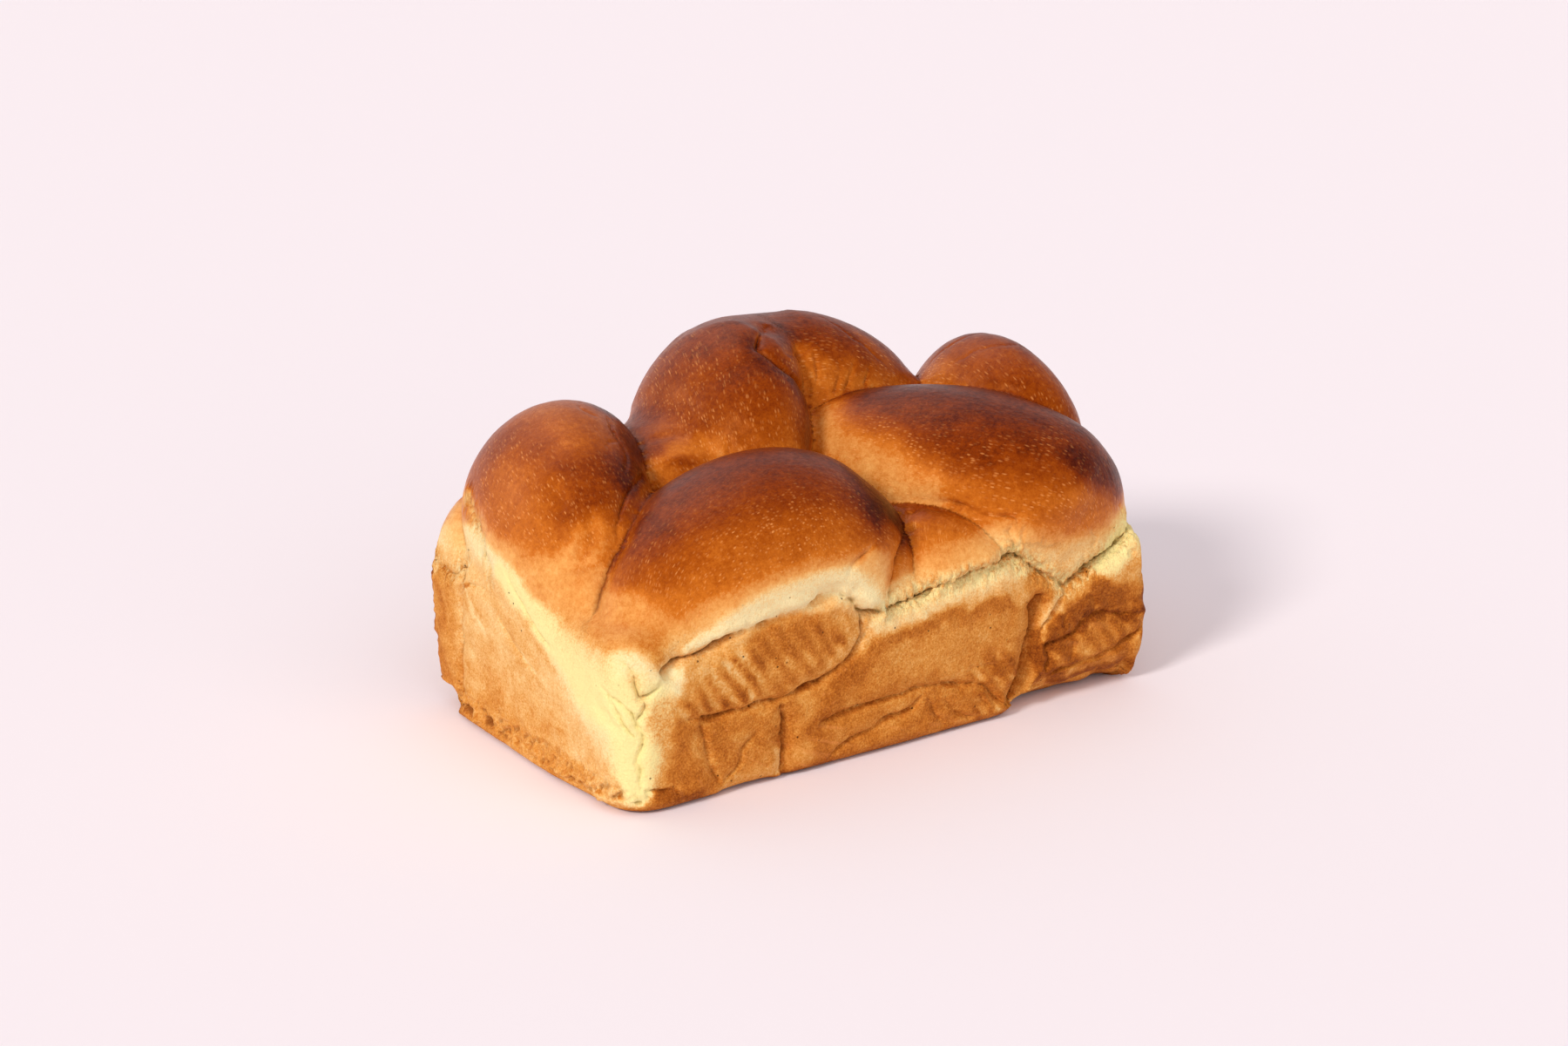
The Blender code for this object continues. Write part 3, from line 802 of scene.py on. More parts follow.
places = places_of(skin)
nudged = places + 0.8 * wander(places, 5.0, 1) + 0.35 * wander(places, 1.8, 2)
come_and_go = np.clip(0.95 + 0.55 * grain(places, 9.0, 3), 0.4, 1.4)
sunk = np.zeros(len(places))
raised = np.zeros(len(places))
# How much shade is painted into the colour at the bottom of each fold; the ripple is also calmed there.
painted_fold_shade = np.zeros(len(places))
tear_away = np.full(len(places), 30.0)
for name, (kind, strength, _) in FOLDS.items():
    sharp, narrow, soft, broad, lip, taper = KINDS[kind]
    inside, away, from_end = near_route(nudged, routes[name], 22.0 if kind == "tuck" else 13.0)
    share = strength * come_and_go[inside] * fade(-0.5, taper, from_end)
    depth = sharp * np.exp(-((away / narrow) ** 1.3)) + soft * np.exp(-((away / broad) ** 2))
    sunk[inside] = np.maximum(sunk[inside], share * depth)
    lips = lip * share * np.exp(-(((away - 2.6 * narrow) / (1.5 * narrow)) ** 2))
    raised[inside] = np.maximum(raised[inside], lips)
    # The thin bottom line of a sharp fold, where shade is painted.
    line = min(1.0, 0.3 + 0.25 * sharp) * (sharp > 0) * np.exp(-((away / (0.7 * narrow)) ** 2))
    painted_fold_shade[inside] = np.maximum(painted_fold_shade[inside], np.minimum(share, 1) * line)
    if kind == "tear":
        tear_away[inside] = np.minimum(tear_away[inside], away)
places += normals_of(skin) * (raised * np.exp(-sunk / 1.5) - sunk)[:, None]
places[:, 2] = np.maximum(places[:, 2], 0)
put_places(skin, places)
print("deepest fold, mm:", round(float(sunk.max()), 1))

# %% [markdown]
# ## What the tin and the oven left on the walls
#
# Slanting ribs about six millimetres apart show where the dough was wrapped and pressed. Beside a tear the crumb
# has pulled out into upright strings. The whole surface also undulates a little, more on the walls than on the
# taut ropes, and the bottom edge of the left end is ragged, where crust stuck to the tin. These are small moves
# along the normal, so they are worked out together and added at once. Last, that stuck edge spreads a little, and
# two corners of the foot curl up off the table.

# %% Rib, ripple and roughen the walls
RIB_PITCH = 5.4  # millimetres from one rib to the next
RIB_SLANT = (0.82, 0.57)  # the ribs' direction of march, along x and z
STRING_WIDTH = 1.2  # millimetres from one torn string to the next

places = places_of(skin)
normals = normals_of(skin)
height = places[:, 2]
upright = fade(0.5, 0.85, 1 - np.abs(normals[:, 2]))
tinned = fade(62, 46, height) * upright
march = places[:, 0] * RIB_SLANT[0] + height * RIB_SLANT[1] + 1.6 * grain(places, 14.0, 4)
front_wall = fade(-50, -57, places[:, 1])
back_wall = fade(50, 57, places[:, 1])
rib_room = tinned * np.maximum.reduce([
    front_wall * fade(-90, -80, places[:, 0]) * fade(-40, -56, places[:, 0]) * fade(27, 31, height),
    0.6 * front_wall * fade(-60, -45, places[:, 0]) * fade(-14, -24, places[:, 0]) * fade(24, 30, height),
    0.8 * front_wall * fade(28, 34, places[:, 0]) * fade(52, 46, places[:, 0]) * fade(28, 20, height),
    0.8 * front_wall * fade(-20, -8, places[:, 0]) * fade(56, 44, places[:, 0]) * fade(36, 40, height) * fade(54, 48, height),
    0.8 * front_wall * fade(56, 64, places[:, 0]) * fade(14, 20, height) * fade(40, 30, height),
    0.6 * back_wall * fade(-84, -60, places[:, 0]) * fade(-22, -34, places[:, 0]) * fade(20, 30, height),
    0.5 * back_wall * fade(20, 34, places[:, 0]) * fade(92, 76, places[:, 0]) * fade(30, 38, height),
])
ribs = np.sin(march / RIB_PITCH * 2 * math.pi) * rib_room * (0.6 + 0.6 * grain(places, 9.0, 5))
squeezed = places * (1 / STRING_WIDTH, 1 / STRING_WIDTH, 1 / (6 * STRING_WIDTH))
clean_tear = fade(-4, -16, places[:, 0]) * fade(0, -20, places[:, 1])
stringy = fade(30, 44, height) * (1 - 0.85 * clean_tear)
strings = grain(squeezed, 1.0, 6) * fade(8.0, 1.5, tear_away) * stringy
foot = fade(10, 0, height) * upright
left_foot = fade(15, 4, height) * upright * fade(-92, -100, places[:, 0]) * fade(50, 44, places[:, 1])
back_edge = fade(54, 60, places[:, 1]) * fade(-98, -103, places[:, 0]) * fade(52, 46, height)
ripple = 0.45 * grain(places, 16.0, 8) + 0.30 * grain(places, 6.0, 9) + 0.14 * grain(places, 2.4, 10)
flakes = np.stack([places[:, 0], 0.4 * (places[:, 1] - height), 1.1 * (height + 0.5 * places[:, 1])], axis=1)
crumble = grain(flakes, 3.0, 12) + 0.6 * grain(places, 1.6, 7)
torn = fade(7.0, 1.0, tear_away) * stringy
push = 0.5 * ribs + 1.0 * strings + ripple * (0.3 + 0.9 * tinned) * fade(0.0, 1.0, 1.2 - painted_fold_shade)
push += 0.5 * foot * grain(places, 3.4, 11) + left_foot * (0.5 + 2.2 * crumble) + 0.7 * back_edge * crumble
# Painted shade also goes along the bottoms of the dips between ropes, and into the gaps of the crumbly foot and back
# edge.
painted_fold_shade = np.maximum(painted_fold_shade, 0.95 * valley_shade_line)
painted_fold_shade = np.maximum(painted_fold_shade, 0.65 * np.maximum(left_foot, back_edge) * fade(0.0, -0.4, crumble))
places += normals * push[:, None]
places[:, 2] = np.maximum(places[:, 2], 0)
band = np.interp(places[:, 0], [-80, -64, -42, -22, -7, 30, 46], [51, 55, 58.5, 57.5, 51.5, 57, 61])
places[:, 1] -= 1.7 * fade(5.5, 1.0, np.abs(height - band)) * fade(-50, -56, places[:, 1]) * fade(-86, -72, places[:, 0]) * fade(
    52, 40, places[:, 0])
stuck_out = 3.4 * fade(-56, -10, places[:, 1]) * fade(47, 42, places[:, 1]) * fade(6, 1, height)
places[:, 0] -= stuck_out * fade(-90, -99, places[:, 0])
lifted = 7.5 * fade(45, 50, places[:, 1]) * fade(-60, -94, places[:, 0])
jutting = fade(43, 54, places[:, 0]) * fade(60, 57, places[:, 0]) * fade(-50, -57, places[:, 1])
lifted = np.maximum(lifted, 5.0 * jutting)
places[:, 2] += lifted * fade(10, 0, places[:, 2])
put_places(skin, places)
print("points on ribs:", int((rib_room > 0.3).sum()), "in torn strings:", int((tear_away < 8).sum()))

# %% [markdown]
# ## How brown each spot is
#
# Browning follows heat. The crests of the ropes face the oven's roof and go darkest, the sides are a middling
# brown, and the valleys between ropes are shielded and stay amber. Where a rope tore away from the tin, new dough
# came out late and is still cream. The walls took their colour from hot metal: an even gold, darker where the
# dough pressed hardest and at the thin bottom edge.
#
# All of that is one number for each point, from 0 for cream to 1 for nearly burnt. It could be painted by hand in
# Blender, but a painting can't be rerun when the shape changes. Here it is a sum of causes, and a few strokes put the
# cream and the scorched patches where this loaf has them. Some strokes on the ropes also paint shade, sheen and glints
# into this number.

# %% Name the strokes
# Each stroke is (how brown, strength, stations), a station being (x, y, z, radius) in millimetres.
STROKES = {
    "gold_left_top": (0.34, 0.8, [(-97, 8, 62, 13), (-98, -14, 58, 13), (-97, -32, 54, 12), (-92, -46, 54, 10)]),
    "straw_under_front_big": (0.26, 0.8, [
        (-84, -58, 53, 6), (-64, -64, 60, 9), (-42, -65, 64, 10), (-22, -64, 64, 10), (-8, -61, 58, 9),
    ]),
    "cream_under_front_big": (0.02, 1.0, [
        (-80, -60, 53, 2), (-74, -62, 55, 3.5), (-64, -64, 58, 5), (-53, -65, 61, 6.5), (-42, -65, 63, 6.5),
        (-30, -65, 64, 6.5), (-22, -64, 62, 7), (-14, -62, 58, 7.5), (-7, -61, 54, 6),
    ]),
    "straw_front_big_end": (0.3, 0.8, [(-12, -60, 68, 6), (-6, -60, 63, 6), (-3, -60, 57, 5)]),
    "gold_under_front_under": (0.5, 0.8, [(0, -56, 62, 7), (14, -56, 64, 8), (30, -56, 66, 8), (40, -57, 68, 7)]),
    "cream_under_front_under": (0.18, 0.8, [
        (-4, -60, 54, 4), (6, -60, 55, 4.5), (18, -61, 56, 4), (30, -61, 58, 4.5), (40, -60, 63, 6.5), (46, -61, 67, 5),
    ]),
    "straw_right_big": (0.2, 0.85, [
        (47, -61, 64, 6), (56, -61, 58, 9), (68, -62, 53, 9.5), (80, -62, 55, 9), (90, -59, 59, 8), (98, -50, 61, 7),
    ]),
    "straw_middle_top": (0.3, 0.9, [
        (-10, -62, 42, 7), (2, -62, 45, 7), (14, -62, 47, 7), (26, -62, 49, 7), (40, -62, 51, 7), (52, -62, 47, 7),
    ]),
    "cream_middle_top": (0.15, 0.9, [
        (-8, -62, 46, 3.5), (2, -62, 48, 4), (14, -62, 49, 4.5), (26, -62, 51, 4.5), (38, -62, 53, 4), (48, -62, 53, 3.5),
    ]),
    "brown_middle_band": (0.66, 0.75, [
        (-16, -62, 31, 3.5), (-9, -62, 37, 3.5), (-2, -62, 40, 3), (9, -62, 41, 3), (19, -62, 43, 3), (28, -62, 40, 3.5),
        (38, -62, 42, 4), (46, -62, 37, 4),
    ]),
    "gold_middle_right_top": (0.52, 0.7, [(54, -62, 47, 4), (60, -62, 46, 3.5), (58, -62, 41, 3.5)]),
    "brown_middle_lens": (0.68, 0.7, [(40, -62, 19, 2.5), (46, -62, 20, 3), (50, -62, 16, 2.5)]),
    "brown_middle_left": (0.68, 0.65, [(-19, -62, 33, 3.5), (-24, -62, 28, 3.5), (-28, -62, 22, 3.5), (-34, -62, 16, 3.5)]),
    "brown_middle_left_low": (0.66, 0.6, [(-33, -62, 15, 3), (-31, -62, 10, 3), (-27, -62, 3, 3.5)]),
    "brown_middle_foot": (0.6, 0.6, [(-22, -62, 3, 4), (4, -62, 5, 5), (24, -62, 9, 6), (40, -62, 10, 5)]),
    "brown_middle_right": (0.68, 0.6, [(36, -62, 24, 3), (42, -62, 19, 3.5), (47, -62, 18, 3)]),
    "gold_middle": (0.42, 0.6, [(-4, -62, 30, 7), (16, -62, 32, 8), (34, -62, 34, 7), (48, -62, 34, 6)]),
    "straw_flap": (0.22, 0.8, [(67, -62, 40, 2.5), (63, -62, 35, 3), (60, -62, 29, 2.2), (58, -62, 22, 1.5)]),
    "gold_left_pad": (0.36, 0.7, [(-80, -62, 48, 5), (-66, -62, 51, 4), (-50, -62, 53, 3.5)]),
    "brown_left_pad": (0.64, 0.6, [(-54, -62, 48, 6), (-42, -62, 50, 7), (-30, -62, 47, 6)]),
    "brown_left_pad_edge": (0.6, 0.5, [(-82, -62, 42, 3), (-76, -62, 34, 4)]),
    "gold_left_pad_end": (0.34, 0.6, [(-25, -62, 54, 5), (-19, -62, 48, 4.5), (-17, -62, 41, 3.5), (-26, -62, 36, 3.5)]),
    "brown_left_foot": (0.64, 0.65, [(-84, -62, 25, 4), (-87, -62, 17, 5), (-80, -62, 12, 5), (-74, -62, 6, 4)]),
    "burnt_left_foot": (0.8, 0.6, [(-92, -61, 5, 2.5), (-84, -62, 4, 2.5), (-77, -62, 2, 2.5)]),
    "brown_left_foot_two": (0.6, 0.6, [(-71, -62, 24, 4), (-68, -62, 16, 4.5), (-63, -62, 11, 3.5)]),
    "straw_left_middle_foot": (0.25, 0.8, [(-45, -62, 10, 1.6), (-46, -61, 4, 2.8)]),
    "butter_right_pad": (0.36, 0.95, [
        (72, -62, 41, 4), (84, -62, 44, 6), (94, -60, 43, 8), (101, -50, 48, 10), (98, -36, 60, 10), (100, -14, 58, 9),
    ]),
    "yellow_right_top": (0.1, 0.9, [
        (84, -61, 48, 4), (93, -58, 50, 6), (101, -53, 50, 7.5), (104, -46, 54, 8), (104, -30, 56, 8),
    ]),
    "brown_right_fringe": (0.66, 0.6, [(82, -62, 40, 3), (88, -62, 36, 4), (97, -61, 33, 3.5), (104, -56, 33, 3)]),
    "brown_right_pad": (0.74, 0.8, [(63, -62, 26, 3.5), (68, -62, 30, 4), (76, -62, 33, 4.5), (83, -62, 37, 5), (88, -62, 33, 4.5)]),
    "brown_right_pad_end": (0.68, 0.7, [(88, -62, 31, 4), (96, -62, 29, 3.5), (104, -60, 28, 3.5)]),
    "gold_right_pad": (0.64, 0.6, [(80, -62, 22, 5), (90, -62, 22, 5), (98, -62, 21, 4)]),
    "burnt_right_burn": (0.86, 0.7, [
        (104, -60, 26, 2.2), (96, -62, 26, 1.8), (88, -62, 28, 1.8), (80, -62, 29, 2.2), (73, -62, 25, 2.6), (66, -62, 22, 3),
    ]),
    "burnt_right_left": (0.84, 0.7, [(61, -62, 22, 2.4), (62, -62, 17, 3), (63, -62, 12, 3), (67, -62, 7, 2.8)]),
    "burnt_right_middle": (0.8, 0.6, [(72, -62, 21, 2.6), (70, -62, 17, 3), (72, -62, 14, 2.6)]),
    "burnt_right_low": (0.78, 0.5, [(99, -61, 18, 1.6), (87, -62, 14, 1.8), (76, -62, 13, 2), (66, -62, 12, 2.4)]),
    "gold_right_low": (0.45, 0.6, [(55, -62, 17, 2), (56, -62, 13, 2.5), (54, -62, 9, 2.5)]),
    "burnt_right_gap": (0.78, 0.75, [(57, -61, 28, 1.8), (57, -61, 22, 2.2), (58, -61, 16, 2.4), (59, -61, 9, 2)]),
    "gold_left_pad_tip": (0.3, 0.6, [(-81, -62, 41, 4), (-77, -62, 46, 4)]),
    "gold_left_foot": (0.44, 0.6, [(-59, -62, 19, 3), (-58, -62, 14, 4)]),
    "burnt_right_edge": (0.84, 0.7, [(104, -60, 32, 3), (106, -56, 22, 2.6), (105, -56, 8, 2.2)]),
    "burnt_right_foot": (0.82, 0.7, [(64, -61, 5, 2.2), (76, -61, 5, 2), (86, -61, 5, 2), (97, -61, 6, 2.2)]),
    "straw_left_foot_edge": (0.34, 0.7, [(-67, -62, 1, 2.5), (-58, -62, 2, 2.6), (-49, -62, 3, 2.6)]),
    "burnt_near_corner": (0.78, 0.6, [(-93, -61, 7, 1.6), (-88, -62, 7, 1.6), (-84, -62, 5, 1.8)]),
    "straw_left_end": (0.24, 0.9, [
        (-103, 56, 57, 8), (-104, 42, 58, 10), (-105, 28, 58, 11), (-106, 14, 53, 11), (-106, 2, 48, 10),
        (-106, -12, 45, 9), (-106, -24, 38, 11), (-105, -38, 34, 14), (-101, -52, 28, 14), (-98, -59, 18, 10),
    ]),
    "cream_left_end": (0.04, 1.0, [
        (-103, 56, 60, 4), (-104, 44, 62, 5.5), (-105, 30, 65, 6), (-105, 18, 65, 5.5), (-105, 8, 63, 4.5),
        (-106, -2, 58, 4.5), (-106, -12, 54, 5), (-106, -22, 49, 7), (-105, -33, 43, 10), (-103, -45, 37, 12.5),
        (-101, -54, 29, 10.5), (-99, -58, 16, 7), (-99, -59, 6, 3),
    ]),
    "peach_left_end": (0.34, 0.7, [(-106, 16, 50, 3), (-106, 6, 44, 3), (-106, -6, 40, 2.5)]),
    "peach_left_end_two": (0.36, 0.6, [(-106, -2, 50, 1.6), (-106, -12, 44, 2), (-106, -22, 38, 2)]),
    "pale_left_wedge": (0.1, 0.9, [(-105, 35, 47, 0.9), (-106, 30, 43, 2), (-106, 25, 38, 0.9)]),
    "pale_left_streak": (0.14, 0.8, [(-106, -2, 37, 1), (-106, -10, 34, 1.6), (-106, -16, 31, 1)]),
    "cream_near_corner": (0.05, 1.0, [(-100, -56, 48, 8), (-96, -60, 42, 9), (-90, -62, 41, 6), (-86, -62, 46, 4)]),
    "straw_near_corner": (0.34, 0.85, [(-90, -62, 34, 6), (-93, -62, 24, 5), (-94, -62, 14, 4)]),
    "cream_corner_low": (0.04, 0.8, [(-98, -59, 24, 6), (-98, -59, 15, 6)]),
    "straw_corner_high": (0.28, 0.6, [(-99, -57, 45, 4), (-97, -60, 39, 3)]),
    "straw_left_end_high": (0.22, 0.5, [(-99, 44, 64, 4), (-101, 35, 60, 5), (-103, 26, 56, 5)]),
    "amber_left_low": (0.4, 0.7, [(-98, -30, 62, 9), (-97, -42, 60, 9), (-90, -52, 58, 8)]),
    "burnt_back_edge": (0.84, 0.7, [(-105, 60, 48, 2.2), (-105, 60, 30, 2.4), (-104, 60, 12, 2.4), (-103, 59, 2, 2)]),
    "brown_left_strip": (0.48, 0.8, [(-105, 50, 46, 7), (-105, 51, 30, 7.5), (-104, 52, 12, 7.5)]),
    "burnt_left_strip": (0.6, 0.6, [(-105, 54, 44, 2.5), (-105, 50, 36, 2), (-105, 56, 24, 2.5), (-105, 53, 12, 3)]),
    "burnt_left_dark": (0.75, 0.7, [(-105, 37, 49, 1.2), (-105, 33, 50, 1)]),
    "brown_left_foot_end": (0.46, 0.6, [(-104, 44, 7, 6), (-104, 20, 7, 6), (-104, -6, 7, 5.5), (-104, -34, 6, 5)]),
    "burnt_left_foot_end": (0.66, 0.5, [(-106, 44, 0, 2), (-106, 20, 0, 1.6), (-104, -6, 0, 1.6), (-103, -40, 0, 1.6)]),
}
# These stay on the one rope that they are named under, and stop dead in the valley beside it.
ROPE_STROKES = {
    "left_end": {
        "dark_crest": (0.56, 0.6, [(-66, 40, 104, 10), (-62, 24, 101, 9), (-66, 12, 97, 8)]),
        # The flank is baked dark, and the stroke's lower end also paints the shade in the dip towards the front rope.
        "dark_flank_and_shade": (0.94, 0.9, [
            (-54, 28, 99, 7), (-50, 22, 93, 7), (-56, 12, 93, 8), (-60, 4, 91, 7), (-66, -2, 92, 6), (-71, -8, 90, 4.5),
        ]),
        # A paler patch painted on the rope's left flank, where a broad sheen shows.
        "painted_sheen": (0.5, 0.6, [(-98, 22, 90, 11), (-99, 10, 88, 12), (-99, 0, 84, 10)]),
        "amber_low": (0.34, 0.7, [(-84, -20, 82, 7), (-92, -26, 74, 13), (-99, -18, 66, 12), (-99, -34, 61, 12)]),
        "rosy_fold": (0.62, 0.5, [(-82, -18, 84, 2.5), (-84, -24, 78, 2.5), (-90, -26, 74, 2)]),
        "tan_fold": (0.3, 0.5, [(-92, -14, 80, 2), (-98, -16, 74, 2.5), (-101, -14, 70, 2.5)]),
        "dark_lip": (0.76, 0.6, [(-80, -18, 84, 4), (-76, -16, 86, 5)]),
        "tan_crest": (0.48, 0.6, [(-80, 40, 102, 8), (-77, 25, 105, 10), (-80, 10, 102, 8)]),
        "straw_edge": (0.3, 0.7, [(-96, 46, 76, 3), (-103, 30, 75, 3), (-105, 17, 71, 3), (-105, 4, 67, 3)]),
    },
    "back_left": {"amber": (0.28, 0.9, [(-98, 56, 70, 9), (-102, 48, 66, 10), (-102, 40, 66, 8)])},
    "back_middle": {
        "dark_edge": (0.92, 0.8, [
            (-4, 20, 119, 4), (-4, 13, 115, 5), (0, 8, 110, 5), (6, 5, 104, 6), (8, 2, 97, 6), (4, -5, 92, 6),
        ]),
        "amber_low": (0.58, 0.7, [(-36, 20, 95, 7), (-33, 11, 92, 7), (-27, 3, 92, 7), (-15, -5, 94, 6)]),
        "dark_low": (0.76, 0.6, [(-34, 13, 98, 6), (-24, 4, 99, 7), (-13, -3, 98, 6)]),
        "straw_low": (0.38, 0.6, [(-50, 10, 84, 3), (-46, 11, 84, 3.5), (-40, 9, 85, 3)]),
        "gold_foot": (0.44, 0.7, [(-38, 10, 87, 4), (-32, 8, 87, 5), (-26, 4, 88, 4)]),
    },
    "back_under": {
        "dark_top": (0.82, 0.6, [(16, 34, 119, 7), (34, 34, 117, 9), (48, 28, 111, 9), (60, 24, 102, 8)]),
        # Dark bake beside the fold, with the fold's soft shadow painted in.
        "dark_hook_and_shade": (0.98, 0.95, [(12, 30, 119, 4), (8, 24, 116, 4.5), (9, 19, 112, 4), (12, 15, 106, 3)]),
        "amber": (0.58, 0.8, [(20, 21, 109, 5), (20, 17, 105, 6), (22, 15, 101, 5), (32, 14, 101, 3)]),
        # Small pale spots painted where glints show on the pleats.
        "painted_glint": (0.38, 0.7, [(20, 17, 105, 1.6), (21, 15, 101, 1.8), (26, 14, 101, 1.4)]),
        "amber_right": (0.5, 0.6, [(27, 18, 107, 2.5), (25, 15, 103, 3.5), (34, 15, 103, 2)]),
        "dark_streaks": (0.86, 0.6, [(38, 24, 114, 2), (40, 19, 110, 2.5), (42, 16, 105, 2.5)]),
        "tan_streak": (0.56, 0.5, [(46, 26, 113, 2.5), (49, 22, 109, 3), (53, 18, 104, 2)]),
    },
    "front_big": {
        # The rope's end is baked dark, and painted darker still for the shade it turns from the lamps.
        "dark_end_and_shade": (1.0, 1.0, [
            (2, -16, 92, 8), (10, -20, 86, 9), (15, -30, 79, 10), (16, -39, 72, 10), (12, -46, 72, 9), (2, -48, 80, 9),
            (-4, -42, 88, 9), (-4, -53, 80, 8),
        ]),
        "tan_front": (0.5, 0.5, [(-66, -54, 78, 12), (-44, -58, 80, 12), (-24, -58, 78, 10)]),
        "dark_crest": (0.88, 0.7, [(-50, -28, 97, 11), (-32, -32, 99, 13), (-14, -32, 98, 13), (-2, -38, 92, 12)]),
        "brown_mid": (0.78, 0.6, [(-60, -42, 91, 8), (-38, -46, 94, 9), (-14, -48, 90, 9)]),
        "tan_end": (0.5, 0.6, [(-2, -57, 70, 5), (2, -54, 70, 4)]),
    },
    "right_big": {
        "dark_crest": (0.9, 0.75, [
            (24, 10, 98, 6), (35, 4, 101, 10), (45, -4, 102, 12), (57, -22, 101, 13), (68, -36, 98, 13),
            (80, -46, 90, 12), (88, -52, 80, 11),
        ]),
        "amber_left": (0.36, 0.85, [
            (19, 7, 95, 6), (14, 2, 92, 9), (14, -6, 89, 10), (17, -15, 86, 10), (20, -24, 82, 10), (24, -33, 78, 10),
            (28, -41, 74, 8),
        ]),
        # The side away from the key light is baked dark, and painted darker for its shade.
        "dark_side_and_shade": (0.96, 0.8, [(74, -57, 86, 5), (80, -59, 80, 7), (87, -59, 74, 7), (94, -54, 72, 7), (98, -44, 74, 7)]),
        "tan_low": (0.58, 0.8, [(34, -50, 77, 6), (50, -60, 74, 8), (68, -63, 68, 8), (84, -62, 66, 7)]),
    },
    "front_under": {
        "brown": (0.6, 0.8, [(18, -48, 71, 5), (26, -51, 72, 6), (33, -54, 70, 5.5)]),
        "dark_edge": (0.8, 0.7, [(19, -43, 74, 2.5), (26, -45, 75, 2.5), (34, -51, 73, 2.5)]),
        "amber": (0.32, 0.8, [(40, -57, 68, 4), (37, -60, 64, 5), (24, -61, 61, 5), (10, -60, 60, 5)]),
    },
    "right_end": {
        "amber_foot": (0.46, 0.8, [(64, 20, 95, 5), (67, 14, 96, 6), (71, 9, 99, 5)]),
        "dark_edge": (0.86, 0.5, [(92, -6, 104, 6), (92, -16, 100, 7), (94, -28, 90, 7), (96, -38, 78, 6)]),
        "dark_low": (0.86, 0.65, [(74, -10, 102, 6), (80, -22, 99, 6), (88, -32, 91, 6)]),
        # A paler patch painted on this rope's top, standing in for the pinkish sheen that the lamps don't give it.
        "mauve_painted_sheen": (0.68, 0.6, [(74, 12, 104, 9), (78, -4, 106, 11), (86, -16, 103, 10), (92, -26, 96, 9)]),
    },
}
print(len(STROKES) + sum(len(strokes) for strokes in ROPE_STROKES.values()), "strokes")


# %% Work out the browning
def stroke_weight(places, tree, stations, core=0.55):
    """How much a stroke covers each place: 1 in its core, which is a share of its radius, and 0 well outside it."""
    spread = max(station[3] for station in stations) * 1.8 + 6
    corners = np.array([station[:3] for station in stations], float)
    inside = np.nonzero(((places > corners.min(axis=0) - spread) & (places < corners.max(axis=0) + spread)).all(axis=1))[0]
    weight = np.zeros(len(places))
    near = places[inside]
    cover = np.zeros(len(near))
    count = max(2, round(sum((Vector(b[:3]) - Vector(a[:3])).length for a, b in zip(stations, stations[1:]))))
    for index in range(count + 1):
        *middle, radius = smooth_route(stations, index / count)
        on_skin = np.array(tree.find_nearest(Vector(middle) * MM)[0]) / MM
        away = np.sqrt(((near - on_skin) ** 2).sum(axis=1))
        cover = np.maximum(cover, fade(1.9 - core, core, away / radius))
    weight[inside] = cover
    return weight


places = places_of(skin)
normals = normals_of(skin)
height = places[:, 2]
tree = surface_tree(skin)
edgy = 0.45 + 0.75 * fade(58, 50, height)[:, None]
patchy = places + 1.8 * wander(places, 9.0, 13) + edgy * (wander(places, 3.0, 14) + 0.5 * wander(places, 1.2, 15))
drifting = places + 2.6 * wander(places, 15.0, 23) + 0.4 * wander(places, 2.5, 24)

crown = 0.36 + 0.24 * fade(50, 84, height) + 0.24 * fade(0.15, 0.95, normals[:, 2])
crown -= 0.16 * valley * fade(0.95, 0.3, normals[:, 2])
crown += 0.06 * grain(places, 22.0, 16) + 0.04 * grain(places, 6.0, 17)
wall = 0.48 + 0.10 * grain(places, 18.0, 18) + 0.10 * grain(places, 7.0, 19) + 0.07 * grain(places, 2.5, 20)
wall -= 0.19 * fade(-96, -103, places[:, 0])
wall += 0.30 * ribs + 0.20 * fade(5, 0, height) + 0.12 * fade(6, 1, height) * grain(places, 3.0, 21)
on_wall = fade(60, 52, height + 2.0 * grain(places, 8.0, 22)) * fade(0.75, 0.45, normals[:, 2])
browning = crown * (1 - on_wall) + wall * on_wall
browning += (0.14 - browning) * fade(4.5, 1.5, tear_away) * fade(30, 40, height) * 0.85
for name, (level, strength, stations) in STROKES.items():
    browning += (level - browning) * strength * stroke_weight(patchy, tree, stations)
for rope, strokes in ROPE_STROKES.items():
    on_rope = owner == rope
    for level, strength, stations in strokes.values():
        weight = stroke_weight(drifting[on_rope], tree, stations, core=0.15)
        browning[on_rope] += (level - browning[on_rope]) * strength * weight
browning = np.clip(browning + 0.14 * strings, 0, 1)
glaze = fade(50, 62, height) * (1 - 0.85 * on_wall) * fade(0.12, 0.34, browning)
butter = stroke_weight(patchy, tree, [(76, -62, 44, 4), (90, -60, 50, 8), (103, -48, 52, 12)])
butter = np.maximum(butter, stroke_weight(patchy, tree, [
    (-105, 10, 62, 4), (-105, -20, 50, 7), (-102, -44, 40, 11), (-98, -58, 36, 12), (-98, -60, 12, 9),
]))
butter = np.maximum(butter, 0.8 * fade(7.0, 2.0, tear_away) * fade(-14, 0, places[:, 0]) * (places[:, 1] < 0))
blisters = (0.2 + 0.8 * fade(0.97, 0.7, normals[:, 2])) * (0.45 + 0.55 * glaze) * (0.4 + 0.6 * fade(0.98, 0.6, browning))
blisters *= fade(0.12, 0.4, browning)
print("browning: least", browning.min().round(2), "mean", browning.mean().round(2), "most", browning.max().round(2))

